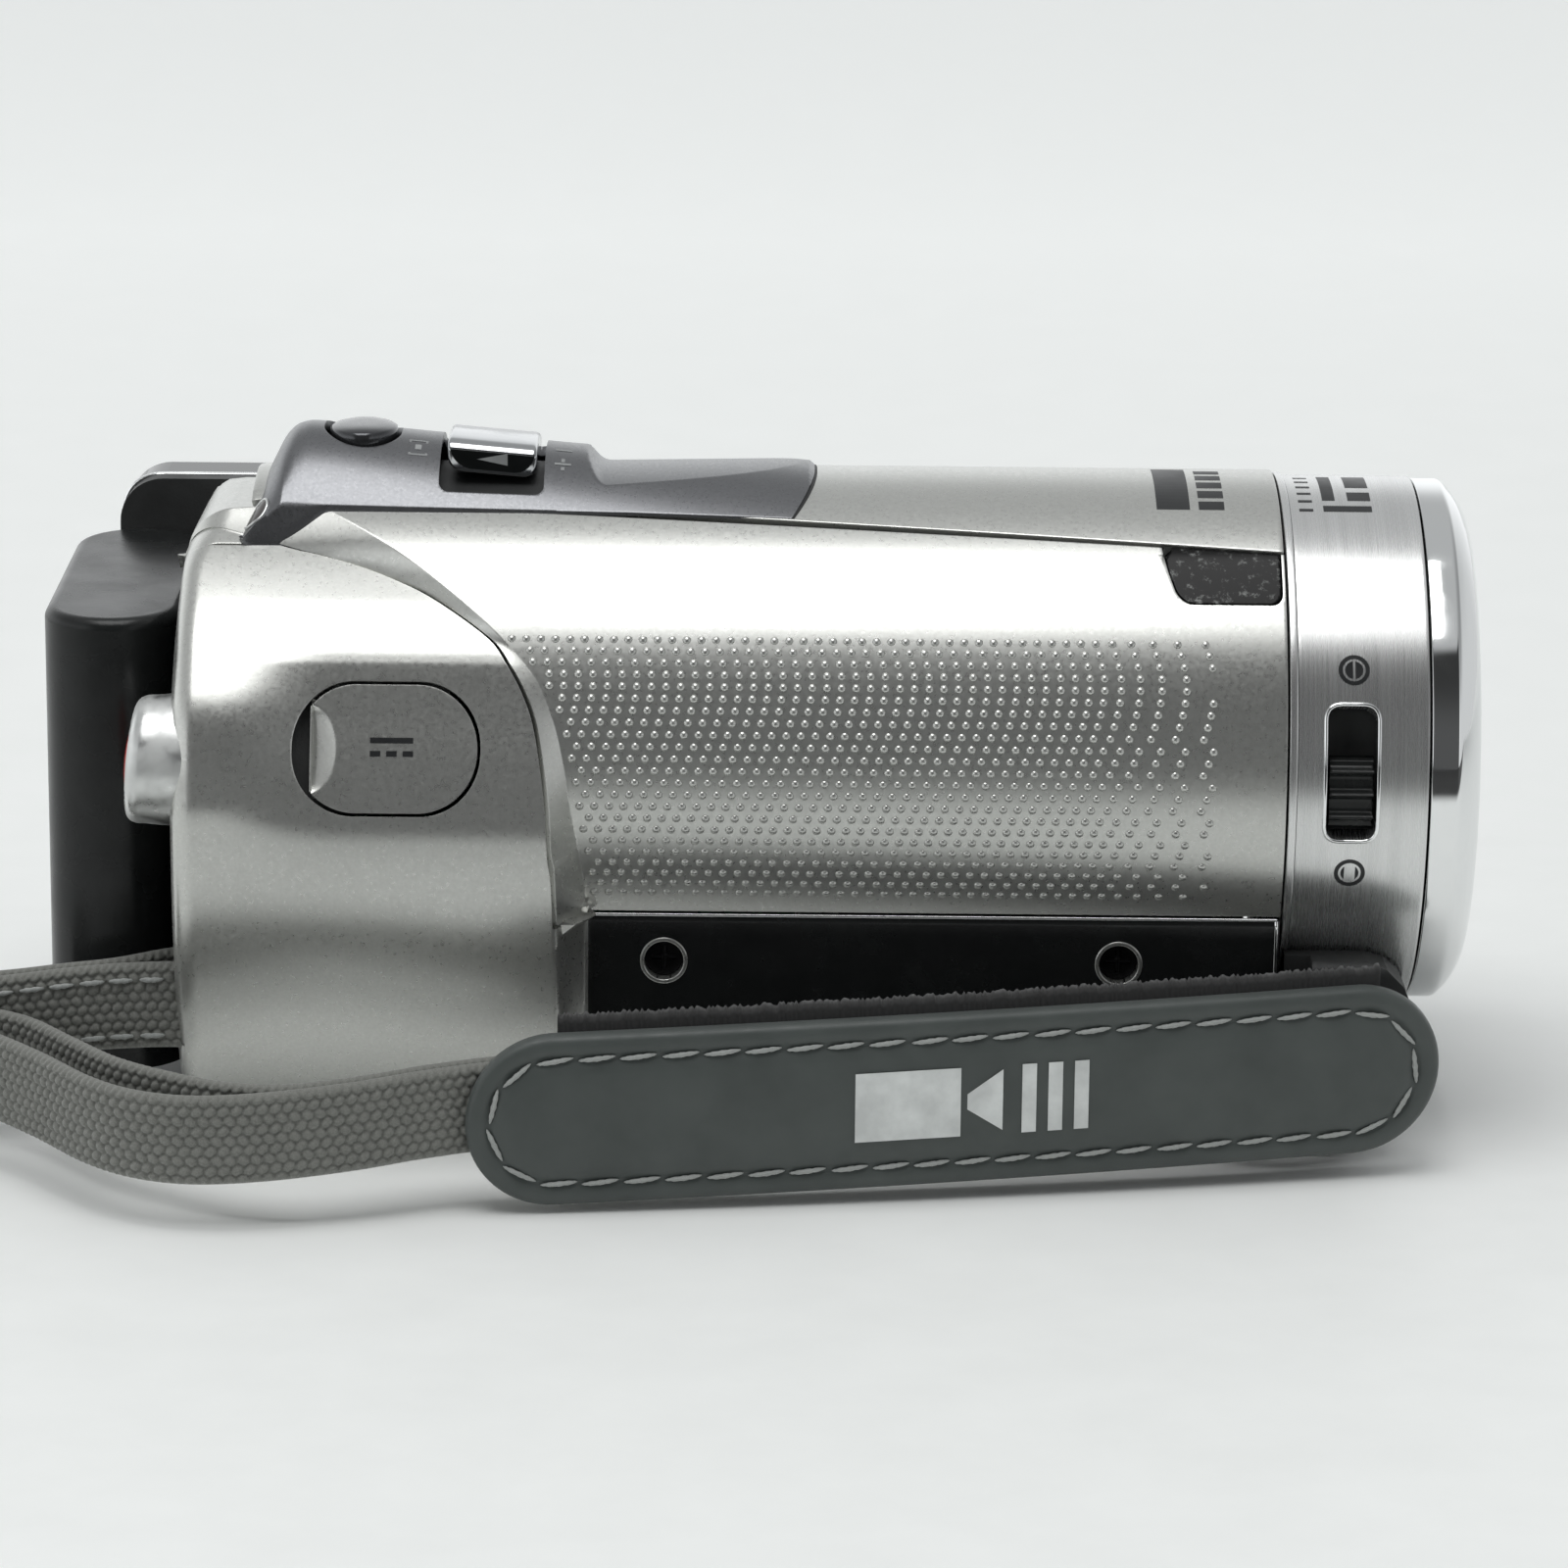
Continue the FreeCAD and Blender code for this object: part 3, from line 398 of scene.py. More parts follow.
class Nodes:
    """A short way to write a material's nodes."""

    def __init__(self, name, color, rough, metallic=0.0, **sockets):
        self.material = bpy.data.materials.new(name)
        self.material.use_nodes = True
        self.tree = self.material.node_tree
        self.shader = self.tree.nodes["Principled BSDF"]
        self.shader.inputs["Base Color"].default_value = (*color, 1)
        self.shader.inputs["Roughness"].default_value = rough
        self.shader.inputs["Metallic"].default_value = metallic
        for key, value in sockets.items():
            self.shader.inputs[key.replace("_", " ")].default_value = value
        self.place = self.tree.nodes.new("ShaderNodeTexCoord").outputs["Object"]
        self.bumps = None

    def mapped(self, scale):
        node = self.tree.nodes.new("ShaderNodeMapping")
        node.inputs["Scale"].default_value = scale
        self.tree.links.new(self.place, node.inputs["Vector"])
        return node.outputs[0]

    def noise(self, scale, detail, rough=0.55, vector=None):
        node = self.tree.nodes.new("ShaderNodeTexNoise")
        node.inputs["Scale"].default_value = scale
        node.inputs["Detail"].default_value = detail
        node.inputs["Roughness"].default_value = rough
        self.tree.links.new(vector or self.place, node.inputs["Vector"])
        return node.outputs["Fac"]

    def cells(self, scale, feature):
        node = self.tree.nodes.new("ShaderNodeTexVoronoi")
        node.feature = feature
        node.inputs["Scale"].default_value = scale
        self.tree.links.new(self.place, node.inputs["Vector"])
        return node.outputs["Distance"]

    def ramp(self, value, low, high, start=0.0, end=1.0):
        return map_range(self.tree, value, low, high, start, end).outputs[0]

    def mix(self, factor, first, second):
        """A colour between two colours or sockets."""
        node = self.tree.nodes.new("ShaderNodeMix")
        node.data_type = "RGBA"
        self.tree.links.new(factor, node.inputs["Factor"])
        for key, color in (("A", first), ("B", second)):
            socket = [s for s in node.inputs if s.name == key and s.type == "RGBA"][0]
            if isinstance(color, tuple):
                socket.default_value = (*color, 1)
            else:
                self.tree.links.new(color, socket)
        return [s for s in node.outputs if s.type == "RGBA"][0]

    def to(self, socket, value):
        self.tree.links.new(value, self.shader.inputs[socket])
        return self

    def bump(self, height, strength, distance):
        node = self.tree.nodes.new("ShaderNodeBump")
        node.inputs["Strength"].default_value = strength
        node.inputs["Distance"].default_value = distance * MM
        self.tree.links.new(height, node.inputs["Height"])
        if self.bumps:
            self.tree.links.new(self.bumps, node.inputs["Normal"])
        self.bumps = node.outputs[0]
        self.to("Normal", self.bumps)
        return self


def per_mm(size):
    """A texture scale whose features are about this many millimetres."""
    return 1.0 / (size * MM)


def flake_paint(name, dark, light, rough, metallic, grain):
    """Metallic paint: fine flakes of slightly different brightness and tilt."""
    m = Nodes(name, light, rough, metallic)
    flakes = m.noise(per_mm(grain), 1.0, 0.5)
    specks = m.noise(per_mm(grain * 0.75), 1.0, 0.5)
    m.to("Base Color", m.mix(m.ramp(specks, 0.25, 0.75), dark, light))
    m.to("Roughness", m.ramp(flakes, 0.3, 0.7, rough * 0.9, rough * 1.15))
    m.bump(flakes, 0.3, 0.010)
    return m.material


def smooth_plastic(name, color, rough, grain=0.0, depth=0.0, **sockets):
    """Moulded plastic with faint smudges, and a fine grain where one is given."""
    smudge = 0.25
    m = Nodes(name, color, rough, **sockets)
    dust = m.noise(per_mm(6), 4.0)
    m.to("Roughness", m.ramp(dust, 0.3, 0.7, rough * (1 - smudge), rough * (1 + smudge)))
    lifted = tuple(c * 1.35 + 0.002 for c in color)
    m.to("Base Color", m.mix(m.ramp(m.noise(per_mm(2.5), 5.0), 0.35, 0.75), color, lifted))
    if grain:
        m.bump(m.noise(per_mm(grain), 2.0), 0.5, depth)
    return m.material


def scratched_gloss(name):
    """Black gloss with dust and fine pale scratches."""
    black = (0.006, 0.006, 0.006)
    m = Nodes(name, black, 0.16, Specular_IOR_Level=0.12)
    dust = m.ramp(m.noise(per_mm(0.9), 6.0, 0.75), 0.55, 0.70)
    m.to("Base Color", m.mix(dust, black, (0.34, 0.35, 0.34)))
    m.to("Roughness", m.ramp(dust, 0.0, 1.0, 0.14, 0.6))
    return m.material


def turned_metal(name, color, rough, metallic):
    """Lathe-turned metal: fine rings about the lens axis."""
    m = Nodes(name, color, rough, metallic)
    lines = m.noise(1.0, 3.0, 0.6, m.mapped((per_mm(0.07), per_mm(30), per_mm(30))))
    broad = m.noise(1.0, 2.0, 0.5, m.mapped((per_mm(0.8), per_mm(60), per_mm(60))))
    darker = tuple(c * 0.86 for c in color)
    m.to("Base Color", m.mix(m.ramp(broad, 0.35, 0.65, 0.5, 1.0), darker, color))
    m.to("Roughness", m.ramp(lines, 0.3, 0.7, rough * 0.85, rough * 1.15))
    m.bump(lines, 0.12, 0.006)
    return m.material


def mirror_metal(name, color, rough):
    m = Nodes(name, color, rough, 1.0)
    wear = m.noise(per_mm(3.0), 5.0, 0.6)
    m.to("Roughness", m.ramp(wear, 0.35, 0.8, rough, rough * 3.5))
    return m.material


def worn_metal(name, color, rough, stretch=(0.4, 0.06, 0.06)):
    m = Nodes(name, color, rough, 1.0)
    lines = m.noise(1.0, 3.0, 0.6, m.mapped(tuple(per_mm(s) for s in stretch)))
    darker = tuple(c * 0.7 for c in color)
    m.to("Base Color", m.mix(m.ramp(lines, 0.3, 0.7), darker, color))
    m.bump(lines, 0.2, 0.01)
    return m.material


def circuit(name):
    m = Nodes(name, (0.02, 0.13, 0.06), 0.35)
    tracks = m.cells(per_mm(1.6), "DISTANCE_TO_EDGE")
    m.to("Base Color", m.mix(m.ramp(tracks, 0.02, 0.06), (0.10, 0.30, 0.14), (0.015, 0.10, 0.05)))
    m.bump(tracks, 0.3, 0.03)
    return m.material


def glass(name, tint):
    rough = 0.02
    m = Nodes(name, tint, rough, 0.0, Transmission_Weight=0.9, IOR=1.5, Coat_Weight=0.6, Coat_Roughness=0.03)
    m.to("Roughness", m.ramp(m.noise(per_mm(5), 4.0), 0.4, 0.8, rough, rough * 3))
    return m.material


def leatherette(name):
    m = Nodes(name, (0.062, 0.073, 0.070), 0.5, 0.0, Sheen_Weight=0.06)
    pores = m.cells(per_mm(0.55), "SMOOTH_F1")
    creases = m.noise(per_mm(1.6), 5.0, 0.6)
    tone = m.noise(per_mm(7), 3.0)
    m.to("Base Color", m.mix(m.ramp(tone, 0.3, 0.7), (0.052, 0.061, 0.058), (0.072, 0.083, 0.079)))
    m.to("Roughness", m.ramp(creases, 0.3, 0.7, 0.42, 0.58))
    m.bump(pores, 0.22, 0.05)
    m.bump(creases, 0.25, 0.05)
    return m.material


def yarn(name, dark, light, size=0.12):
    """Spun thread: fine fibres with soft colour changes."""
    m = Nodes(name, light, 0.8, 0.0, Sheen_Weight=0.35, Sheen_Roughness=0.5)
    fibres = m.noise(per_mm(size), 4.0, 0.65)
    tone = m.noise(per_mm(3.5), 3.0)
    fine = m.mix(m.ramp(fibres, 0.3, 0.7), dark, light)
    m.to("Base Color", m.mix(m.ramp(tone, 0.3, 0.7, 0.0, 0.3), fine, light))
    m.bump(fibres, 0.5, 0.04)
    return m.material


SILVER = flake_paint("silver_paint", (0.55, 0.555, 0.53), (0.60, 0.605, 0.58), 0.30, 0.86, 0.34)
GUNMETAL = flake_paint("gunmetal_paint", (0.172, 0.175, 0.183), (0.196, 0.199, 0.207), 0.30, 0.85, 0.26)
GUNMETAL_GLOSS = flake_paint("gunmetal_gloss", (0.070, 0.072, 0.077), (0.082, 0.084, 0.089), 0.16, 0.7, 0.2)
GLOSS = smooth_plastic("gloss_black", (0.008, 0.009, 0.009), 0.07, Specular_IOR_Level=0.13)
SATIN_BLACK = smooth_plastic("satin_black", (0.011, 0.012, 0.012), 0.26, 0.35, 0.01, Specular_IOR_Level=0.30)
MATTE = smooth_plastic("grained_black", (0.022, 0.023, 0.023), 0.55, 0.22, 0.03)
CHROME = mirror_metal("chrome", (0.83, 0.84, 0.84), 0.045)
TURNED = turned_metal("turned_aluminium", (0.72, 0.725, 0.72), 0.27, 0.88)
STEEL = worn_metal("steel", (0.48, 0.48, 0.49), 0.32)
CAST = worn_metal("cast_metal", (0.36, 0.37, 0.38), 0.5, (0.3, 0.3, 0.3))
BRASS = worn_metal("plated_brass", (0.60, 0.50, 0.29), 0.3)
BOARD = circuit("circuit_board")
LENS = glass("coated_glass", (0.72, 0.80, 0.86))
DISPLAY = smooth_plastic("display_window", (0.006, 0.007, 0.009), 0.06)
RED = smooth_plastic("red_plastic", (0.42, 0.02, 0.012), 0.22)
LAMP = smooth_plastic("lamp_lens", (0.07, 0.065, 0.062), 0.10)
LEATHER = leatherette("leatherette")
WEB = yarn("strap_yarn", (0.125, 0.128, 0.115), (0.225, 0.23, 0.21))
THREAD = yarn("stitch_thread", (0.27, 0.285, 0.275), (0.42, 0.435, 0.42), 0.08)
LINING = yarn("hook_lining", (0.004, 0.004, 0.004), (0.012, 0.012, 0.012), 0.3)
WHITE_PRINT = smooth_plastic("white_print", (0.60, 0.62, 0.61), 0.5)
# painted reflection: near-black colour for the lower panel, standing in for the dark pad and lining
# reflected in the side wall
PAINTED_DARK_PANEL = smooth_plastic("panel_painted_dark_reflection", (0.010, 0.011, 0.011), 0.22, 0.5, 0.012)
SATIN_METAL = mirror_metal("satin_metal", (0.66, 0.67, 0.66), 0.24)
SMOKED_CHROME = mirror_metal("smoked_chrome", (0.50, 0.51, 0.52), 0.07)
SCRATCHED = scratched_gloss("scratched_gloss")
DARK_STEEL = worn_metal("dark_steel", (0.045, 0.045, 0.047), 0.35)
PRINT = smooth_plastic("grey_print", (0.26, 0.27, 0.27), 0.45)
DARK_PRINT = smooth_plastic("dark_print", (0.010, 0.011, 0.012), 0.4)

CAD_MATERIALS = {
    "silver_shell": SILVER, "dark_deck": GUNMETAL, "black_gloss": GLOSS, "black_matte": MATTE,
    "chrome_trim": CHROME, "satin_ring": TURNED, "steel": STEEL, "cast_frame": CAST,
    "brass_insert": BRASS, "circuit_board": BOARD, "optical_glass": LENS, "screen_glass": DISPLAY,
    "red_button": RED, "lamp_lens": LAMP, "webbing": WEB, "pad_leather": LEATHER, "pad_lining": LINING,
}
OWN_MATERIALS = {"battery_pack": SATIN_BLACK, "side_screws": DARK_STEEL}


def dress_cad_nodes():
    """Every CAD piece gets its slot's material, or its own."""
    slots = {s["node"]: s["material_slot"] for s in frame["record"]["subparts"]}
    for name, obj in frame["nodes"].items():
        obj.data.materials.clear()
        obj.data.materials.append(OWN_MATERIALS.get(name, CAD_MATERIALS[slots[name]]))


# ---------------------------------------------------------------- silver shells

MIC_BOX = (28.6, COVER_FRONT_X - 0.45, 43.05, 48.0)
MIC_SLANT = (29.25, 46.1, 0.39)          # a point (x, z) on the slanted left edge, and its run
MIC_LOW_DEG = 38.5
MIC_DROP = 0.12                           # the windows sit this far under the covers
# the power flap's hole and the flap, as (x0, x1, z0, z1), and the radius of their round end
DC_HOLE = (-37.6, -23.2, 27.4, 37.2)
DC_FLAP = (-36.1, -23.45, 27.65, 36.95)
DC_CORNER = 4.6
DC_SCOOP = (3.1, 1.9, 0.7)                # half height, reach and depth of the finger scoop


SCREWS = ((-9.2, 14.9), (26.1, 14.9))     # (x, z) of the side screws
SCREW_HOLE_R = 1.6


def mic_outline(margin):
    """The microphone window: a rounded box whose rear edge leans back."""
    box = (MIC_BOX[0], MIC_BOX[1] + margin, MIC_BOX[2] - margin, MIC_BOX[3])
    blend = 1.0

    def distance(u, v):
        inside = rounded_box_distance(u, v, box, 0.8) + blend
        edge = MIC_SLANT[0] + (MIC_SLANT[1] - v) * MIC_SLANT[2] - u
        edge = edge / math.hypot(1, MIC_SLANT[2]) - margin + blend
        both = np.hypot(np.maximum(inside, 0), np.maximum(edge, 0))
        return both + np.minimum(np.maximum(inside, edge), 0) - blend

    return distance


def on_body(distance, x, angle, lift=0.0, keep_inside=False):
    """Cuts a grid on the body's surface by an outline given in x and z."""
    z = body_point(x, angle)[..., 2]
    keep, nx, nz = snap_to(distance, x, z, keep_inside)
    moved = (nx != x) | (nz != z)
    new_angle = np.where(moved, angle_at_z(nx, nz), angle)
    return keep, body_point(nx, new_angle, lift)


def side_cover_grid(rows, cols):
    """x and angle over the side cover, lined up with its four edges."""
    foot = float(angle_at_z(np.array(-16.0), PANEL_FOOT_Z + GAP))
    left = np.linspace(foot, RIDGE[0][1] - 0.5, rows)
    start = seam_x(left) + GAP
    corner = 0.4
    rise = np.clip(corner - np.radians(left - foot) * BARREL_R, 0, corner)
    start = start + corner - np.sqrt(corner ** 2 - rise ** 2)
    share = (left - foot) / (left[-1] - foot)
    front_x = COVER_FRONT_X - GAP / 2
    front_foot = float(angle_at_z(np.array(front_x), PANEL_FOOT_Z + GAP))
    right = front_foot + share * (RIDGE[1][1] - 0.4 - front_foot)
    t = np.linspace(0, 1, cols)[None, :]
    # more columns over the ramp at the rear
    t = 0.45 * t + 0.55 * t ** 2
    x = start[:, None] + (front_x - start[:, None]) * t
    angle = left[:, None] + (right - left)[:, None] * t
    base = angle_at_z(x[0], PANEL_FOOT_Z + GAP)[None, :]
    angle = angle + (base - angle[0][None, :]) * (1 - share[:, None]) ** 6
    return x, angle


def side_cover():
    x, angle = side_cover_grid(300, 420)
    keep, points = on_body(mic_outline(GAP), x, angle)
    dress(shell("side_cover_shell", points, keep), "camera", SILVER, "silver_shell", "side_cover")


def mic_windows():
    """The scratched microphone windows on the right and the left."""
    x = np.linspace(MIC_BOX[0] - 0.1, MIC_BOX[1] + 0.3, 70)[None, :]
    share = np.linspace(0, 1, 70)[:, None]
    angle = MIC_LOW_DEG + (ridge_angle(x) - 0.3 - MIC_LOW_DEG) * share
    x = np.broadcast_to(x, angle.shape)
    keep, right = on_body(mic_outline(0.0), x, angle, -MIC_DROP, True)
    for name, side in (("mic_window_r", 1), ("mic_window_l", -1)):
        obj = shell(name, right * np.array([1, side, 1]), keep, 0.9, 0.1)
        dress(obj, "camera", SCRATCHED, "black_gloss", "mic_windows")


def right_shell():
    """The bulge behind the seam, and the lower wall along the whole side."""
    rows_up, cols, more = 200, 190, 240
    t = np.linspace(0, 1, cols) ** 0.8
    share = np.linspace(0, 1, rows_up)[:, None]
    foot = np.full(cols, -28.0)
    # the foot's angle depends on x, and x on the angle
    for _ in range(4):
        angle = foot[None, :] + (REAR_SEAM_DEG - foot[None, :]) * share
        end = seam_x(angle) - GAP
        x = REAR_X + (end - REAR_X) * t[None, :]
        foot = angle_at_z(x[0], PANEL_FOOT_Z - GAP)
    z = body_point(x, angle)[..., 2]
    keep_up, nx, nz = snap_to(lambda p, q: rounded_box_distance(p, q, DC_HOLE, DC_CORNER + 0.1), x, z, False)
    moved = (nx != x) | (nz != z)
    upper = body_point(nx, np.where(moved, angle_at_z(nx, nz), angle))
    front = np.linspace(x[0, -1], COVER_FRONT_X - GAP / 2, more)[1:]
    row_x = np.concatenate([x[0], front])
    row_foot = np.concatenate([foot, angle_at_z(front, PANEL_FOOT_Z - GAP)])
    last = math.degrees(math.atan2(0.0 - AXIS_Z, BASE_EDGE_Y))
    near_joint = np.array([0, 0.002, 0.004, 0.006, 0.008, 0.010, 0.012, 0.015, 0.02, 0.027])
    down = np.concatenate([near_joint, np.linspace(0.036, 1, 84)])[:, None]
    lower_angle = row_foot[None, :] + (last - row_foot[None, :]) * down
    lower_x = np.broadcast_to(row_x, lower_angle.shape)
    lower = body_point(lower_x, lower_angle)
    drop = lower[0, :, 2][None, :] - lower[..., 2]
    lip = LIP * np.clip(drop / LIP, 0, 1) * smoothstep(-17.0, -15.2, lower_x)
    lip = lip * np.clip((COVER_FRONT_X - lower_x) / 0.3, 0, 1) * smoothstep(0.0, 3.0, lower[..., 2])
    lower[..., 1] -= lip
    keep_low = np.ones((len(down) - 1, len(row_x) - 1), bool)
    for sx, sz in SCREWS:
        lz = lower[..., 2]
        gap = np.hypot(lower_x - sx, lz - sz) - SCREW_HOLE_R
        middle = (gap[:-1, :-1] + gap[1:, 1:] + gap[1:, :-1] + gap[:-1, 1:]) / 4
        keep_low &= middle > 0
    faces_up = [f for f, k in zip(grid_faces(rows_up, cols), keep_up.ravel()) if k]
    under_bulge = np.broadcast_to(row_x[:-1] < PANEL_START_X, keep_low.shape)
    # in front of the bulge the lower wall is coloured near-black, a painted reflection of the pad and lining
    for name, wanted, material, slot, node in (
            ("thumb_shell", under_bulge, SILVER, "silver_shell", ("right_shell",)),
            ("lower_panel", ~under_bulge, PAINTED_DARK_PANEL, "black_gloss", ())):
        kept = (keep_low & wanted).ravel()
        faces = [tuple(reversed([i + rows_up * cols for i in f]))
                 for f, k in zip(grid_faces(len(down), len(row_x)), kept) if k]
        points = np.vstack([upper.reshape(-1, 3), lower.reshape(-1, 3)])
        faces = outward(points, (faces_up if node else []) + faces)
        obj = thicken(make_object(name, points, faces), SKIN, 0.16)
        dress(obj, "camera", material, slot, *node)
    # painted highlight: chrome beads along the lower panel's top and front edges stand in for the light
    # those rounded edges catch
    edge = lower[4, row_x > PANEL_START_X + 0.3][:-1] + np.array([0.0, -0.06, 0.10])
    down = lower[5:-14, -2] + np.array([-0.05, -0.06, 0.0])
    for name, path in (("panel_top_highlight_bead", edge), ("panel_front_highlight_bead", down)):
        dress(tube_along(name, path, 0.15, closed=False), "camera", CHROME, "chrome_trim")


def screw_collars():
    """The rim round each recessed side screw, with the dark well inside."""
    for i, (sx, sz) in enumerate(SCREWS):
        rim = rounded_profile([(-0.10, 1.52), (-0.10, 1.86), (1.6, 1.86), (1.6, 1.52)], 0.12)
        obj = lathe("screw_rim_%d" % i, rim, (sx, -SIDE_Y - LIP, sz), (0, 1, 0), 64)
        dress(obj, "camera", SILVER, "silver_shell")


def dc_flap():
    """The power flap with its finger scoop and sign, and the dark well round it."""
    u = np.linspace(DC_FLAP[0] - 0.3, DC_FLAP[1] + 0.3, 110)
    a = np.linspace(-6, 28, 110)
    x, angle = np.meshgrid(u, a)
    box = (DC_FLAP[0] - DC_CORNER, DC_FLAP[1], DC_FLAP[2], DC_FLAP[3])

    def outline(p, q):
        oval = rounded_box_distance(p, q, (DC_HOLE[0] + 0.25, box[1], box[2], box[3]), DC_CORNER)
        return np.maximum(oval, DC_FLAP[0] - p)

    keep, points = on_body(outline, x, angle, 0.0, True)
    half, reach, depth = DC_SCOOP
    middle = (DC_FLAP[2] + DC_FLAP[3]) / 2
    wide = np.sqrt(np.clip(1 - ((points[..., 2] - middle) / half) ** 2, 0, 1))
    run = np.clip(points[..., 0] - DC_FLAP[0], 0, None)
    points[..., 1] += depth * np.clip(1.0 - run / (reach * wide + 0.01), 0, 1) * wide
    obj = shell("dc_flap_skin", points, keep, 1.0, 0.1)
    dress(obj, "dc_flap", SILVER, "silver_shell", "dc_cover")
    wall_z = np.linspace(middle - half, middle + half, 24)
    rim = body_point(DC_FLAP[0], angle_at_z(np.full(24, DC_FLAP[0]), wall_z))
    wall = np.array([rim + (0, drop, 0) for drop in (0.0, 0.4, 0.8)])
    obj = shell("dc_flap_edge", wall, None, 0.13, 0.03)
    dress(obj, "dc_flap", SILVER, "silver_shell")
    mid_x, mid_z = (DC_HOLE[0] + DC_HOLE[1]) / 2 + 0.4, (DC_HOLE[2] + DC_HOLE[3]) / 2 + 0.3
    bars = [bar(mid_x, mid_z + 0.35, 3.3, 0.4)]
    bars += [bar(mid_x + 1.25 * k, mid_z - 0.6, 0.8, 0.4) for k in (-1, 0, 1)]
    flat_mark("dc_sign", bars, lambda u, v: body_point(u, angle_at_z(np.array(u), np.array(v)), 0.03),
              "dc_flap", DARK_PRINT, "silver_shell")
    xs = np.linspace(DC_HOLE[0] - 0.4, DC_HOLE[0] + 5.0, 16)
    zs = np.linspace(DC_HOLE[2] - 0.2, DC_HOLE[3] + 0.2, 30)
    gx, gz = np.meshgrid(xs, zs)
    floor_points = body_point(gx, angle_at_z(gx, gz), -1.35)
    obj = shell("dc_well", floor_points, None, 0.5, 0)
    dress(obj, "camera", MATTE, "black_matte")


TOP_SPLIT_X = (-42.1, -41.9)              # the line between the rear top cover and the covers in front
CAP_FALL_X = -43.8                        # the rear top cover's flat top starts to fall here
CAP_ROUND = 3.4
RIM_CUTS_X = (-42.0, -43.8, -44.6, -45.3, -45.9, -46.4, -46.8)


def top_cover():
    x = np.linspace(TOP_SPLIT_X[1], COVER_FRONT_X - GAP / 2, 220)[None, :]
    start = ridge_angle(x) + 0.35
    share = np.linspace(0, 1, 120)[:, None]
    angle = start + (LEFT_SPLIT_DEG - start) * share
    x = np.broadcast_to(x, angle.shape)
    points = body_point(x, angle)
    dress(shell("top_shell", points), "camera", SILVER, "silver_shell", "top_cover")


def rear_top_cover():
    x = np.linspace(REAR_X, TOP_SPLIT_X[0], 60)[None, :]
    x = REAR_X + (x - REAR_X) ** 1.6 / (TOP_SPLIT_X[0] - REAR_X) ** 0.6
    angle = np.linspace(REAR_SEAM_DEG + 0.6, LEFT_SPLIT_DEG, 120)[:, None]
    at_rim = 1 - smoothstep(REAR_X, REAR_X + 3, x)
    angle = angle - 2.0 * at_rim * (1 - smoothstep(REAR_SEAM_DEG + 1, 80, angle))
    points = body_point(np.broadcast_to(x, angle.shape), angle)
    cap = rear_cap_z(x)
    points[..., 2] = cap - np.log1p(np.exp((cap - points[..., 2]) * 3.0)) / 3.0
    dress(shell("rear_top_shell", points), "camera", SILVER, "silver_shell", "rear_top_cover")


def rear_cap_z(x):
    """Height of the rear top cover's flat top, with its rounded rear end."""
    fall = np.clip(CAP_FALL_X - x, 0, CAP_ROUND - 0.2)
    return REAR_TOP_Z - (CAP_ROUND - np.sqrt(CAP_ROUND ** 2 - fall ** 2))


def rounded_copy(name, node, material, slot, limit):
    """A copy of a CAD piece whose rear end is brought inside the rounded rear rim by limit(point)."""
    mesh = bmesh.new()
    mesh.from_mesh(frame["nodes"][node].data)
    for x in RIM_CUTS_X:
        geom = mesh.verts[:] + mesh.edges[:] + mesh.faces[:]
        bmesh.ops.bisect_plane(mesh, geom=geom, dist=1e-7, plane_co=(x * MM, 0, 0), plane_no=(1, 0, 0))
    bmesh.ops.triangulate(mesh, faces=mesh.faces[:])
    for vertex in mesh.verts:
        if vertex.co.x < TOP_SPLIT_X[1] * MM:
            vertex.co = Vector(limit(np.array(vertex.co) / MM)) * MM
    data = bpy.data.meshes.new(name)
    mesh.to_mesh(data)
    mesh.free()
    obj = bpy.data.objects.new(name, data)
    bpy.context.scene.collection.objects.link(obj)
    dress(obj, "camera", material, slot, node)


def rear_panel():
    """The black rear panel, kept inside the rounded rim of the covers round it."""
    def limit(point):
        point[2] = min(point[2], float(rear_cap_z(point[0])) - 1.3)
        angle = math.degrees(math.atan2(point[2] - AXIS_Z, -point[1]))
        radius = math.hypot(point[1], point[2] - AXIS_Z)
        room = float(body_radius(point[0], angle)) - 0.9
        if 0 < angle < 90 and radius > room:
            point[1] *= room / radius
            point[2] = AXIS_Z + (point[2] - AXIS_Z) * room / radius
        return point

    rounded_copy("rear_panel_skin", "rear_panel", MATTE, "black_matte", limit)


def left_cover():
    """The left cover, with its rear end brought under the rounded rear cover."""
    def limit(point):
        point[2] = min(point[2], float(rear_cap_z(point[0])) - 0.1)
        return point

    rounded_copy("left_shell", "left_cover", SILVER, "silver_shell", limit)


def grip_dots():
    """Rows of small domes on the side cover, closer at the rear and thinning out forward."""
    pitch_x, pitch_s, dot_r, height = 1.12, 0.93, 0.33, 0.16
    first, last = 33.6, -25.2
    rows = int(math.radians(first - last) * BARREL_R / pitch_s)
    rings = [(1.0, -0.03), (0.86, 0.35), (0.55, 0.8), (0.0, 1.0)]
    sides = 10
    parts = []
    for row in range(rows):
        angle = first - math.degrees((row + 0.5) * pitch_s / BARREL_R)
        x = float(crease_x(np.array(angle))) + 0.75 + (pitch_x / 2 if row % 2 else 0)
        step = pitch_x
        while x < 32.9:
            parts.append(dome(x, angle, dot_r, height, rings, sides))
            if x > 23.5:
                step *= 1.14
            x += step
    obj = join_meshes("grip_dots", parts)
    dress(obj, "camera", SILVER, "silver_shell", "side_cover")


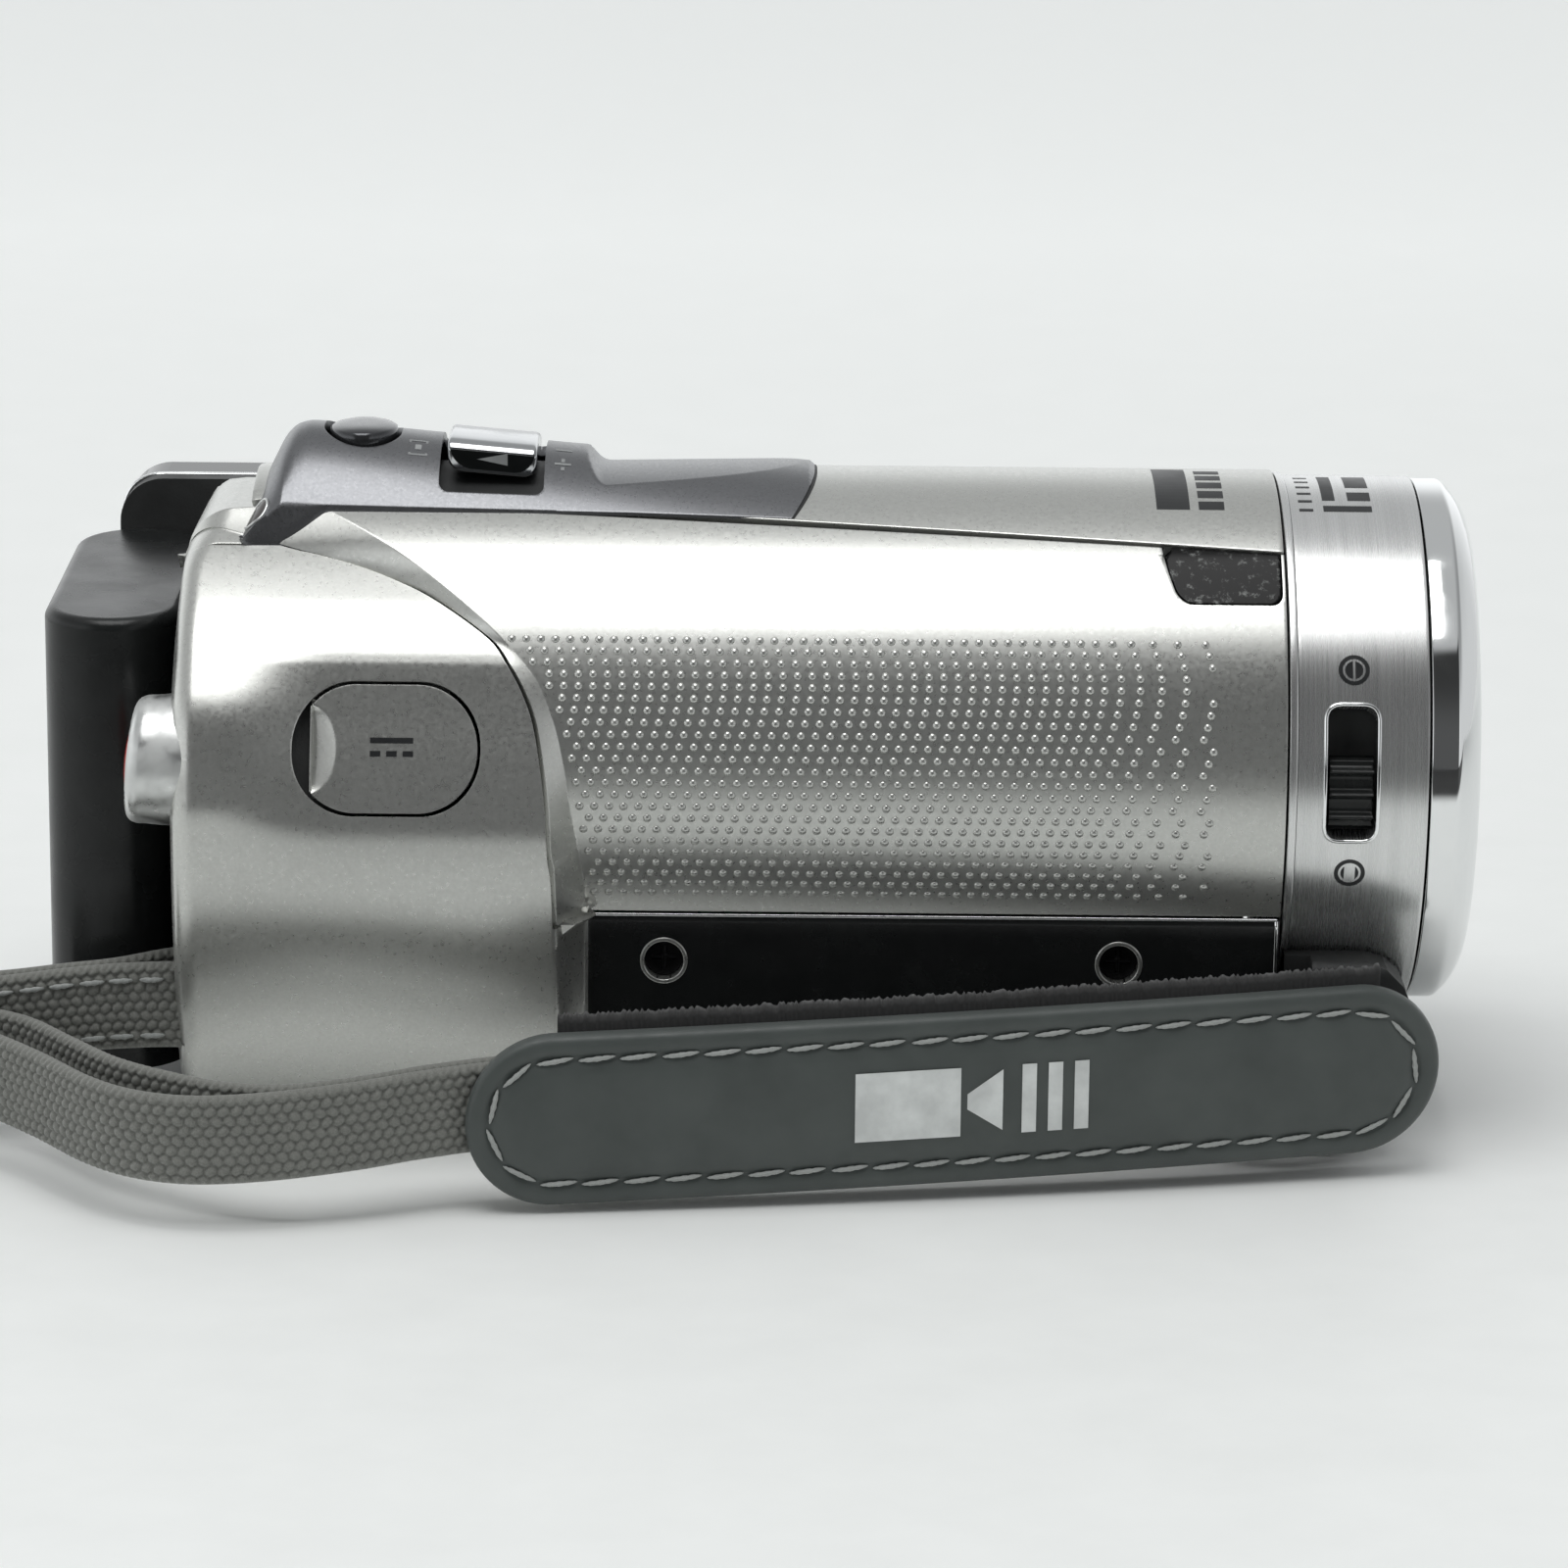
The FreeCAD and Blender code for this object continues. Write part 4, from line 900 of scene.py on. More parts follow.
def dome(x, angle, radius, height, rings, sides):
    a = math.radians(angle)
    normal = np.array([0, -math.cos(a), math.sin(a)])
    along = np.array([1.0, 0, 0])
    up = np.cross(normal, along)
    base = np.array([x, 0, AXIS_Z]) + normal * BARREL_R
    points, faces = [], []
    for k, (share, rise) in enumerate(rings[:-1]):
        for i in range(sides):
            t = 2 * math.pi * i / sides
            points.append(base + radius * share * (math.cos(t) * along + math.sin(t) * up)
                          + normal * height * rise)
    points.append(base + normal * height)
    for k in range(len(rings) - 2):
        for i in range(sides):
            j = (i + 1) % sides
            faces.append((k * sides + i, k * sides + j, (k + 1) * sides + j, (k + 1) * sides + i))
    top = len(points) - 1
    last = (len(rings) - 2) * sides
    for i in range(sides):
        faces.append((last + i, last + (i + 1) % sides, top))
    faces.append(tuple(range(sides - 1, -1, -1)))
    return points, faces


# ---------------------------------------------------------------- control deck

DECK_X = (-42.3, 2.2)
CROWN = ((-42.3, 46.9), (-41.4, 48.9), (-40.4, 51.0), (-39.5, 52.6), (-38.3, 53.45), (-36, 53.5),
         (-27, 52.65), (-19.5, 52.1), (-16.6, 51.85), (-8, 51.2), (0.8, 50.65), (1.8, 50.45), (2.2, 50.25))
EDGE_Y = ((-42.3, -10.2), (-40.5, -9.3), (-39.1, -8.9), (-12, -8.9), (2.2, -9.3))
EDGE_Z = ((-42.3, 46.2), (-41.4, 47.2), (-39.4, 48.8), (-39.1, 48.85), (-36, 48.6), (-12, 48.3), (2.2, 48.0))
LEVER_RECESS = (-27.2, -19.0, -7.7, 5.6)     # x0, x1, y0, y1
LEVER_LEAN = 0.085                           # the lever is lower towards the front
CROWN_CURVE = smooth_path(CROWN, 8)


def table(points, x):
    p = np.array(points)
    return np.interp(x, p[:, 0], p[:, 1])


def deck_top(x, y):
    """Height of the deck's arched top, with the shallow scoop in its front half."""
    crown = table(CROWN_CURVE, x)
    edge = np.minimum(table(EDGE_Z, x), crown - 0.05)
    share = np.clip(np.abs(y) / -table(EDGE_Y, x), 0, 1)
    arch = edge + (crown - edge) * (1 - share ** 2.1)
    floor = 50.35 + 0.02 * (x + 14) - 0.015 * y ** 2 - 0.035 * y
    floor = floor + 2.4 * np.clip((-14 - x) / 2.2, 0, 1.3) ** 2.2
    return np.where(x > -16.5, np.minimum(arch, floor), arch)


def control_deck():
    """The deck's arched top with its two openings, its skirts and its front seam."""
    xs = np.concatenate([np.linspace(DECK_X[0], -38, 40), np.linspace(-37.8, 1.4, 210),
                         np.linspace(1.5, DECK_X[1], 8)])
    lip = [0.15, 0.5, 1.0]
    across = np.linspace(-1, 1, 130)
    gx, gt = np.meshgrid(xs, across)
    gx = gx - 1.8 * np.abs(gt) ** 2.5 * smoothstep(-6, DECK_X[1], gx)
    gy = gt * -table(EDGE_Y, gx)
    shutter_low, shutter_high = extent("shutter_button")
    oval = (shutter_low.x - 0.35, shutter_high.x + 0.35, shutter_low.y - 0.35, shutter_high.y + 0.35)

    def outline(u, v):
        button = rounded_box_distance(u, v, oval, (oval[1] - oval[0]) / 2 - 0.02)
        return np.minimum(button, rounded_box_distance(u, v, LEVER_RECESS, 0.8))

    keep, nx, ny = snap_to(outline, gx, gy, False)
    top = np.stack([nx, ny, deck_top(nx, ny)], axis=-1)
    right = deck_skirt(top[0], -1, lip)
    left = deck_skirt(top[-1], 1, lip)
    points = np.concatenate([right[::-1], top, left])
    extra = np.ones((len(lip), len(xs) - 1), bool)
    keep = np.concatenate([extra, keep, extra])
    obj = shell("deck_shell", points, keep, 0.8, 0.10)
    dress(obj, "camera", GUNMETAL, "dark_deck", "control_deck")
    y = top[:, -1, 1]
    z = AXIS_Z + np.sqrt(BARREL_R ** 2 - y ** 2) + 0.05
    seam = [np.column_stack([top[:, -1, 0] + reach, y, z]) for reach in (-0.3, 0.2)]
    obj = shell("deck_front_seam", np.array(seam), None, 0.2, 0)
    dress(obj, "camera", MATTE, "black_matte")
    deck_marks()


def deck_skirt(edge, side, steps):
    """Rows from the deck's edge down to the covers below it."""
    x = edge[:, 0]
    seam = body_point(x, REAR_SEAM_DEG, -0.1)
    y = edge[:, 1]
    below = np.stack([x, y, AXIS_Z + np.sqrt(BARREL_R ** 2 - y ** 2) - 0.15], axis=-1)
    if side > 0:
        seam[:, 1] *= -1
    share = np.clip((x + 39.1) / 3.1, 0, 1)[:, None]
    foot = seam * (1 - share) + below * share
    foot[:, 2] = np.minimum(foot[:, 2], edge[:, 2] - 0.05)
    return np.array([edge + (foot - edge) * step for step in steps])


def on_deck(u, v):
    return (u, v, float(deck_top(np.array(u), np.array(v))) + 0.025)


def deck_marks():
    """Generic marks: a still-camera sign by the snapshot button, and a plus for zooming in."""
    x, y = -29.0, -3.4
    frame_bars = [bar(x, y + side * 1.0, 1.5, 0.18) for side in (1, -1)]
    frame_bars += [bar(x + side * 0.66, y, 0.18, 2.0) for side in (-1, 1)]
    frame_bars.append(bar(x, y, 0.5, 0.7))
    flat_mark("snapshot_sign", frame_bars, on_deck, "camera", PRINT, "dark_deck")
    plus = [bar(-17.6, -4.3, 1.3, 0.28), bar(-17.6, -4.3, 0.28, 1.6), bar(-17.6, -1.9, 1.3, 0.28)]
    flat_mark("zoom_in_sign", plus, on_deck, "camera", PRINT, "dark_deck")


def status_lamp():
    """The oval lamp in the deck's rear slope, with its thin rim."""
    def on_slope(size, lift, turn):
        x = -41.3 + 0.85 * size * math.sin(turn)
        y = -8.3 + 1.15 * size * math.cos(turn)
        z = float(deck_top(np.array(x), np.array(y)))
        return np.array([x, y, z]) + np.array([-0.85, -0.25, 0.45]) * lift

    turns = np.linspace(0, 2 * math.pi, 40, endpoint=False)
    rim = [on_slope(1.0, 0.05, turn) for turn in turns]
    dress(tube_along("lamp_rim", rim, 0.12), "camera", SATIN_METAL, "chrome_trim")
    rows = [[on_slope(size, lift, turn) for turn in turns]
            for size, lift in ((1.0, -0.8), (1.0, 0.05), (0.85, 0.12), (0.45, 0.16), (0.02, 0.17))]
    faces = grid_faces(5, 40, wrap_cols=True) + ring_caps(5, 40, False)
    obj = fix_normals(make_object("lamp_lens", np.array(rows), faces))
    dress(obj, "camera", LAMP, "lamp_lens", "status_lamp")


def lever_well():
    """The dark floor and walls of the recess that the zoom lever moves in."""
    x0, x1 = LEVER_RECESS[:2]
    xs = np.linspace(x0 - 0.4, x1 + 0.4, 30)
    angles = np.linspace(70.5, 106, 60)
    gx, ga = np.meshgrid(xs, angles)
    dress(shell("lever_well", body_point(gx, ga, 0.12), None, 0.15, 0), "camera", MATTE, "black_matte")


def zoom_lever():
    """A chrome rocker with rounded lower corners, and a dark face with a chrome lip under it."""
    low, high = extent("zoom_lever")
    mid = (low.x + high.x) / 2
    foot = low.z + 0.15
    box = [(low.x, foot, 1.9), (high.x, foot, 1.9), (high.x, high.z, 0.35), (low.x, high.z, 0.35)]
    outline = np.array(rounded_profile(box, 0.35, 8))
    middle = outline.mean(axis=0)
    rows = []
    for y, inset, duck in ((low.y, 0.22, 0.75), (low.y + 0.08, 0.06, 0.6), (low.y + 0.3, 0, 0.36),
                           (low.y + 0.7, 0, 0.14), (low.y + 1.3, 0, 0.02), (low.y + 2.6, 0, 0.0),
                           (high.y - 1.6, 0, 0.12), (high.y - 0.5, 0, 0.4), (high.y, 0.3, 0.8)):
        way = outline - middle
        ring = middle + way * (1 - inset / np.linalg.norm(way, axis=1, keepdims=True))
        top = smoothstep(middle[1], high.z, ring[:, 1])
        z = ring[:, 1] - duck * top - LEVER_LEAN * (ring[:, 0] - mid)
        rows.append(np.column_stack([ring[:, 0], np.full(len(ring), y), z]))
    count = len(outline)
    faces = grid_faces(len(rows), count, wrap_cols=True) + ring_caps(len(rows), count, False)
    obj = fix_normals(make_object("zoom_lever_cap", np.array(rows), faces))
    dress(obj, "zoom_switch", SMOKED_CHROME, "chrome_trim", "zoom_lever")
    u = np.linspace(low.x + 0.1, high.x - 0.1, 80)
    v = np.linspace(foot + 0.2, high.z - 0.72, 50)
    gx, gz = np.meshgrid(u, v)
    plate_box = (u[0] + 0.08, u[-1] - 0.08, v[0] + 0.12, v[-1] + 2.0)
    keep, nx, nz = snap_to(lambda p, q: rounded_box_distance(p, q, plate_box, 1.7), gx, gz, True)
    face = np.stack([nx, np.full(nx.shape, low.y - 0.03), nz - LEVER_LEAN * (nx - mid)], axis=-1)
    plate = shell("zoom_lever_face", face, keep, 0.14, 0.04)
    dress(plate, "zoom_switch", GLOSS, "black_gloss", "zoom_lever")
    tip = low.z + 1.35
    wedge = [(mid - 1.2, tip + 0.05), (mid + 1.2, tip - 0.45), (mid + 1.2, tip + 0.5)]
    flat_mark("zoom_mark", [wedge], lambda p, q: (p, low.y - 0.06, q), "zoom_switch", PRINT, "black_gloss")


def bar(u, v, width, height):
    """A rectangle's four corners about its middle."""
    a, b = width / 2, height / 2
    return [(u - a, v - b), (u + a, v - b), (u + a, v + b), (u - a, v + b)]


def tube_along(name, path, radius, closed=True):
    """A thin round bead along a path of millimetre points."""
    sides = 8
    path = np.array(path, float)
    if closed:
        ahead, behind = np.roll(path, -1, axis=0), np.roll(path, 1, axis=0)
    else:
        ahead = np.vstack([path[1:], path[-1:]])
        behind = np.vstack([path[:1], path[:-1]])
    way = ahead - behind
    way /= np.linalg.norm(way, axis=1, keepdims=True)
    spread = path - path.mean(axis=0)
    normal = np.linalg.svd(spread)[2][2]
    side = np.cross(way, normal)
    side /= np.linalg.norm(side, axis=1, keepdims=True)
    up = np.cross(side, way)
    rows = [path + radius * (math.cos(a) * side + math.sin(a) * up)
            for a in np.linspace(0, 2 * math.pi, sides, endpoint=False)]
    faces = grid_faces(sides, len(path), wrap_rows=True, wrap_cols=closed)
    return fix_normals(make_object(name, np.array(rows), faces))


def flat_mark(name, outlines, place, body, material, slot):
    """Thin printed shapes. place turns an outline's (u, v) into a point."""
    parts = [([place(u, v) for u, v in outline], [tuple(range(len(outline)))]) for outline in outlines]
    dress(join_meshes(name, parts), body, material, slot)


def shutter_button():
    """The oval snapshot button, a little dished."""
    low, high = extent("shutter_button")
    half_x, half_y = (high.x - low.x) / 2, (high.y - low.y) / 2
    mid = ((low.x + high.x) / 2, (low.y + high.y) / 2)
    rows = []
    turn = np.linspace(0, 2 * math.pi, 64, endpoint=False)
    levels = ((0, high.z - low.z), (0, 1.1), (0.06, 0.75), (0.3, 0.62), (0.9, 0.48), (1.6, 0.40),
              (2.3, 0.37))
    for inset, depth in levels:
        px = (half_x - inset) * np.sign(np.cos(turn)) * np.abs(np.cos(turn)) ** 0.95
        py = (half_y - inset) * np.sin(turn)
        rows.append(np.column_stack([mid[0] + px, mid[1] + py, np.full(len(turn), high.z - depth)]))
    faces = grid_faces(len(rows), len(turn), wrap_cols=True) + ring_caps(len(rows), len(turn), False)
    obj = fix_normals(make_object("shutter_cap", np.array(rows), faces))
    dress(obj, "shutter", GUNMETAL_GLOSS, "dark_deck", "shutter_button")


# ---------------------------------------------------------------- lens front

SLOT = (41.5, 45.6, 25.4, 36.0)              # x0, x1, z0, z1 of the slot that the knob slides in
SLOT_CORNER = 1.3


def arc_at(z):
    """How far round the ring's outside a height is."""
    return math.asin((z - AXIS_Z) / RING_R) * RING_R


def ring_point(x, angle, radius):
    a = np.radians(angle)
    x = np.asarray(x, float) + 0 * a
    return np.stack([x, -radius * np.cos(a), AXIS_Z + radius * np.sin(a)], axis=-1)


def satin_ring():
    """The wide turned ring with its slot, and a chrome bead round the slot as a painted highlight on its
    rim.
    """
    xs = np.linspace(RING_X[0], RING_X[1], 42)
    angles = np.linspace(-180, 180, 721)
    gx, ga = np.meshgrid(xs, angles)
    arc = np.radians(ga) * RING_R
    box = (SLOT[0], SLOT[1], arc_at(SLOT[2]), arc_at(SLOT[3]))
    keep, nx, ns = snap_to(lambda u, v: rounded_box_distance(u, v, box, SLOT_CORNER), gx, arc, False)
    points = ring_point(nx, np.degrees(ns / RING_R), RING_R)
    obj = shell("satin_ring_body", points, keep, 2.7, 0.2)
    dress(obj, "camera", TURNED, "satin_ring", "satin_ring")
    corners = [(box[0], box[2]), (box[1], box[2]), (box[1], box[3]), (box[0], box[3])]
    rim = rounded_profile(corners, SLOT_CORNER, 12)
    path = []
    for start, end in zip(rim, rim[1:] + rim[:1]):
        steps = max(1, int(math.dist(start, end) / 0.5))
        for k in range(steps):
            x, arc = (a + (b - a) * k / steps for a, b in zip(start, end))
            path.append(ring_point(x, math.degrees(arc / RING_R), RING_R - 0.02))
    # painted highlight: the chrome bead stands in for the light caught by the slot's bevelled rim
    dress(tube_along("slot_highlight_bead", path, 0.17), "camera", CHROME, "chrome_trim")


def front_rings():
    """The thin trim ring and the chrome ring round the front window."""
    centre = (0, 0, AXIS_Z)
    low, high = extent("trim_ring")
    trim_r = (high.y - low.y) / 2
    profile = rounded_profile([(low.x, 18), (low.x, trim_r), (high.x, trim_r), (high.x, 18)], 0.12)
    dress(lathe("trim_ring_body", profile, centre, (1, 0, 0)), "camera", TURNED, "satin_ring", "trim_ring")
    low, high = extent("chrome_ring")
    r = (high.y - low.y) / 2
    front = high.x
    profile = [(low.x + 0.1, 17.95, 0.1), (low.x + 0.1, r - 0.12, 0.15), (front - 1.9, r - 0.12, 0.3),
               (front - 0.95, r - 1.0, 0.8), (front - 0.3, r - 2.0, 0.8), (front, r - 2.75, 0.25),
               (front - 0.5, 17.95, 0.2)]
    ring = lathe("chrome_ring_body", rounded_profile(profile, 0.4, 8), centre, (1, 0, 0), 320)
    dress(ring, "camera", CHROME, "chrome_trim", "chrome_ring")


def cover_knob():
    """The sliding knob in the ring's slot, with two cross ridges."""
    low, high = extent("cover_knob")
    xs = np.linspace(low.x, high.x, 16)
    angles = np.linspace(-7.3, 8.9, 60)
    gx, ga = np.meshgrid(xs, angles)
    ridges = sum(np.exp(-((ga - c) / 0.75) ** 2) for c in (-4.2, 0.8, 5.8))
    edge = smoothstep(-7.3, -6.4, ga) * (1 - smoothstep(8.0, 8.9, ga))
    radius = 19.6 + edge * 0.55 + 0.6 * ridges * edge
    obj = shell("cover_knob_cap", ring_point(gx, ga, radius), None, 1.6, 0.12)
    dress(obj, "lens_cover_ring", SATIN_BLACK, "black_gloss", "cover_knob")


def ring_marks():
    """Generic open and closed marks by the slot, and plain scale bars on the ring and top cover."""
    mark_r = RING_R + 0.015

    def on_ring(u, s):
        return tuple(ring_point(u, math.degrees(s / RING_R), mark_r))

    for name, z, gap in (("mark_shut", 38.45, 0.1), ("mark_open", 22.75, 0.42)):
        mid = arc_at(z)
        x = 43.65
        outlines = annulus_quads(x, mid, 1.2, 0.88) + [half_moon(x, mid, 0.7, gap, side) for side in (-1, 1)]
        flat_mark(name, outlines, on_ring, "camera", DARK_PRINT, "satin_ring")
    bars = [(42.0, 45.8, 70.5, 73.0), (42.0, 43.0, 75.5, 93.0), (44.0, 45.8, 75.5, 80.0),
            (44.0, 45.8, 83.0, 93.0)]
    bars += [(40.1, 41.2, 70.5 + i * 4.0, 71.6 + i * 4.0) for i in range(6)]
    flat_mark("ring_scale", curved_patches(bars), on_ring, "camera", DARK_PRINT, "satin_ring")

    def on_barrel(u, v):
        return tuple(ring_point(u, math.degrees(v / RING_R), BARREL_R + 0.015))

    bars = [(28.9, 31.5, 69.0, 95.0)] + [(32.2, 34.2, 69.0 + i * 5.0, 72.4 + i * 5.0) for i in range(5)]
    flat_mark("cover_badge", curved_patches(bars), on_barrel, "camera", DARK_PRINT, "silver_shell")


def curved_patches(blocks):
    """Printed blocks (x0, x1, low, high) between two angles, as narrow strips that follow the curve."""
    strips = []
    for x0, x1, low, high in blocks:
        steps = max(1, int((high - low) / 1.5))
        edge = [math.radians(low + (high - low) * i / steps) * RING_R for i in range(steps + 1)]
        strips += [[(x0, a), (x1, a), (x1, b), (x0, b)] for a, b in zip(edge, edge[1:])]
    return strips


def annulus_quads(x, s, outer, inner):
    """A flat ring as short quads."""
    steps = 40
    turns = [2 * math.pi * i / steps for i in range(steps + 1)]
    corners = [((outer, a), (outer, b), (inner, b), (inner, a)) for a, b in zip(turns, turns[1:])]
    return [[(x + r * math.cos(t), s + r * math.sin(t)) for r, t in quad] for quad in corners]


def half_moon(x, s, r, gap, side):
    """The part of a disc beyond a gap from its middle, on one side."""
    reach = math.acos(gap / r)
    arc = [-reach + 2 * reach * i / 16 for i in range(17)]
    return [(x + side * r * math.cos(a), s + side * r * math.sin(a)) for a in arc]


# ---------------------------------------------------------------- rear

def record_button():
    """The satin record button with its red centre."""
    low, high = extent("record_button")
    mid_y, mid_z = (low.y + high.y) / 2, (low.z + high.z) / 2
    r = (high.y - low.y) / 2
    back = -low.x
    front = -high.x
    ring = [(front, 0.05), (front, r - 0.1), (back - 1.7, r + 0.12), (back - 0.75, r + 0.02),
            (back - 0.3, r - 0.3), (back - 0.08, r - 0.8), (back, r - 1.4), (back - 0.1, r - 2.0),
            (back - 0.35, 2.5), (back - 0.9, 2.42), (back - 0.9, 0.05)]
    dot = [(back - 1.0, 2.35), (back - 0.1, 2.35), (back + 0.16, 2.15), (back + 0.30, 1.5),
           (back + 0.36, 0.6), (back + 0.37, 0.05)]
    for name, profile, steps, material, slot, node in (
            ("record_ring", ring, 96, SATIN_METAL, "chrome_trim", "record_button"),
            ("record_centre", dot, 64, RED, "red_button", "record_dot")):
        obj = lathe(name, smooth_path(profile, 4), (0, mid_y, mid_z), (-1, 0, 0), steps, closed=False)
        lean_back(obj, mid_z)
        dress(obj, "record", material, slot, node)


def lean_back(obj, mid_z):
    """The button's face leans: its upper edge stands out less than its lower edge."""
    for vertex in obj.data.vertices:
        if vertex.co.x < (REAR_X - 0.6) * MM:
            vertex.co.x += 0.09 * (vertex.co.z - mid_z * MM)


def screen_trim():
    """The bright line round the screen where its two halves meet."""
    low, high = extent("lcd_back_cover")
    corners = [(low.x, low.z), (high.x, low.z), (high.x, high.z), (low.x, high.z)]
    middle = np.array([(low.x + high.x) / 2, (low.z + high.z) / 2])
    outline = np.array(rounded_profile(corners, 3.6, 14))
    way = outline - middle
    size = np.linalg.norm(way, axis=1, keepdims=True)
    rows = []
    for y, reach in ((20.05, -0.2), (20.1, 0.06), (20.75, 0.06), (20.8, -0.2)):
        ring = outline + way / size * reach
        rows.append(np.column_stack([ring[:, 0], np.full(len(ring), y), ring[:, 1]]))
    obj = fix_normals(make_object("screen_trim", np.array(rows), grid_faces(4, len(outline), True, True)))
    dress(obj, "screen", CHROME, "chrome_trim")


# ---------------------------------------------------------------- strap

OUTER_PATH = ((-44.6, -15.1, 11.2), (-47.5, -15.5, 11.2), (-52, -16.9, 10.7), (-56, -16.5, 10.1),
              (-61, -15.9, 9.3), (-67, -15.4, 8.7), (-71.6, -16.8, 8.3), (-73.4, -20.3, 8.0),
              (-71.0, -23.4, 7.8), (-66.5, -24.4, 7.6), (-61.5, -25.6, 7.4), (-56.7, -30.4, 7.2),
              (-52, -36.4, 7.0), (-48, -39.6, 6.9), (-43.5, -40.9, 6.9), (-38, -40.5, 7.1),
              (-32, -38.8, 7.4), (-27, -36.7, 7.7), (-22, -34.9, 7.9), (-17.5, -34.4, 8.0))
INNER_PATH = ((-44.6, -20.1, 11.2), (-47.5, -19.6, 11.2), (-52, -18.6, 10.7), (-56, -18.0, 10.1),
              (-61, -17.5, 9.3), (-66, -17.3, 8.7), (-69.3, -18.2, 8.4), (-70.0, -19.9, 8.1),
              (-67.6, -20.5, 7.8), (-62.5, -19.9, 7.5), (-58.5, -21.8, 7.35), (-54.5, -26.7, 7.2),
              (-50.5, -31.7, 7.1), (-46, -35.1, 7.0), (-41.5, -37.6, 7.0), (-36.5, -38.6, 7.15),
              (-31.4, -37.1, 7.4), (-26.6, -35.1, 7.7), (-21.7, -33.4, 7.9), (-17.5, -32.9, 8.0))
FRONT_PATH = ((34.0, -22.6, 8.4), (38.5, -22.9, 8.4), (42.0, -21.6, 8.4), (44.8, -21.1, 8.4),
              (46.6, -20.0, 8.4), (46.6, -18.2, 8.4), (45.0, -17.0, 8.4))
WEB_WIDTH = 6.9
WEB_THICK = 1.25
WEAVE_PITCH = 0.95
WEAVE_DEPTH = 0.30
RIB_PITCH = 0.66
WEAVE_ROWS = 9


def distance_along(points):
    """How far along a path each of its points is."""
    return np.concatenate([[0], np.cumsum(np.linalg.norm(np.diff(points, axis=0), axis=1))])


def sample(at, where, points):
    """A path's points at given distances along it."""
    return np.stack([np.interp(at, where, column) for column in points.T], axis=-1)


def even_path(points, step):
    """Points a fixed distance apart on a smooth curve, and their distances."""
    fine = smooth_path(points, 40)
    length = distance_along(fine)
    where = np.linspace(0, length[-1], int(length[-1] / step))
    return sample(where, length, fine), where


def weave_height(along, across):
    """Plaited rows of plump lozenges, each row set half a step from its neighbours."""
    row = np.floor(across * WEAVE_ROWS)
    v = across * WEAVE_ROWS - row - 0.5
    lean = np.where(row % 2 == 0, 1.0, -1.0)
    phase = along / WEAVE_PITCH + lean * v * 0.22 + (row % 2) * 0.5
    u = phase - np.floor(phase) - 0.5
    return np.clip(1 - np.abs(2.15 * u) ** 2.3 - np.abs(1.95 * v) ** 2.3, 0, 1) ** 0.55


def webbing(name, path):
    """A woven strap that follows a path, with its knuckles as real relief on both faces."""
    points, along = even_path(path, 0.14)
    tangent = np.gradient(points, axis=0)
    tangent[:, 2] = 0
    tangent /= np.linalg.norm(tangent, axis=1, keepdims=True)
    side = np.column_stack([-tangent[:, 1], tangent[:, 0], np.zeros(len(points))])
    up = np.array([0, 0, 1.0])
    face_steps = 54
    share = np.linspace(0.0, 1.0, face_steps)
    ring = []
    for sign in (-1, 1):
        order = share if sign < 0 else share[::-1]
        for s in order:
            middle = 1 - smoothstep(0.84, 0.9, abs(2 * s - 1))
            weave = WEAVE_DEPTH * (weave_height(along, np.full(len(along), s)) - 0.75)
            rib = 0.10 * (np.cos(2 * math.pi * (along / RIB_PITCH + 1.6 * abs(2 * s - 1) * sign)) - 1)
            edge = WEB_THICK / 2 * math.sqrt(max(0.0, 1 - max(0.0, abs(2 * s - 1) - 0.86) ** 2 / 0.14 ** 2))
            half = np.maximum(edge + (weave * middle + rib * (1 - middle)) * min(1.0, edge / 0.3), 0.05)
            ring.append(points + side * (sign * half)[:, None] + up * WEB_WIDTH * (s - 0.5))
    grid = np.array(ring)
    count, length = grid.shape[:2]
    faces = grid_faces(count, length, wrap_rows=True) + strip_ends(count, length)
    obj = fix_normals(make_object(name, grid, faces))
    dress(obj, "camera", WEB, "webbing", "strap_webbing")


def thread_piece(start, end, out, radius):
    """One stitch: a plump capsule of two-ply thread that dips at both ends."""
    start, end, out = (np.array(v, float) for v in (start, end, out))
    way = end - start
    length = np.linalg.norm(way)
    way = way / length
    side = np.cross(out, way)
    rows = []
    steps, sides = 14, 10
    for i in range(steps + 1):
        t = i / steps
        body = math.sin(math.pi * t) ** 0.35 if 0 < t < 1 else 0.15
        rise = 0.16 * math.sin(math.pi * t) - 0.03
        middle = start + way * length * t + out * rise
        ring = []
        for k in range(sides):
            a = 2 * math.pi * k / sides
            twist = 1 + 0.16 * math.cos(2 * a + 9 * t * length)
            r = radius * body * twist
            ring.append(middle + side * r * math.cos(a) + out * r * 0.8 * math.sin(a))
        rows.append(ring)
    return np.array(rows), grid_faces(steps + 1, sides, wrap_cols=True) + ring_caps(steps + 1, sides)


def web_stitches():
    """Two rows of stitches that sew the strap's end to itself behind the camera."""
    points, along = even_path(INNER_PATH, 0.1)
    tangent = np.gradient(points, axis=0)
    tangent /= np.linalg.norm(tangent, axis=1, keepdims=True)
    parts = []
    for height in (2.2, -2.3):
        s = 3.2
        while s < 20.0:
            i, j = np.searchsorted(along, s), np.searchsorted(along, s + 2.0)
            out = np.array([tangent[i][1], -tangent[i][0], 0])
            out = out if out[1] < 0 else -out
            lift = out * (WEB_THICK / 2 + 0.05)
            z = np.array([0, 0, height])
            parts.append(thread_piece(points[i] + lift + z, points[j] + lift + z, out, 0.2))
            s += 2.45
    dress(join_meshes("web_stitches", parts), "camera", THREAD, "webbing")


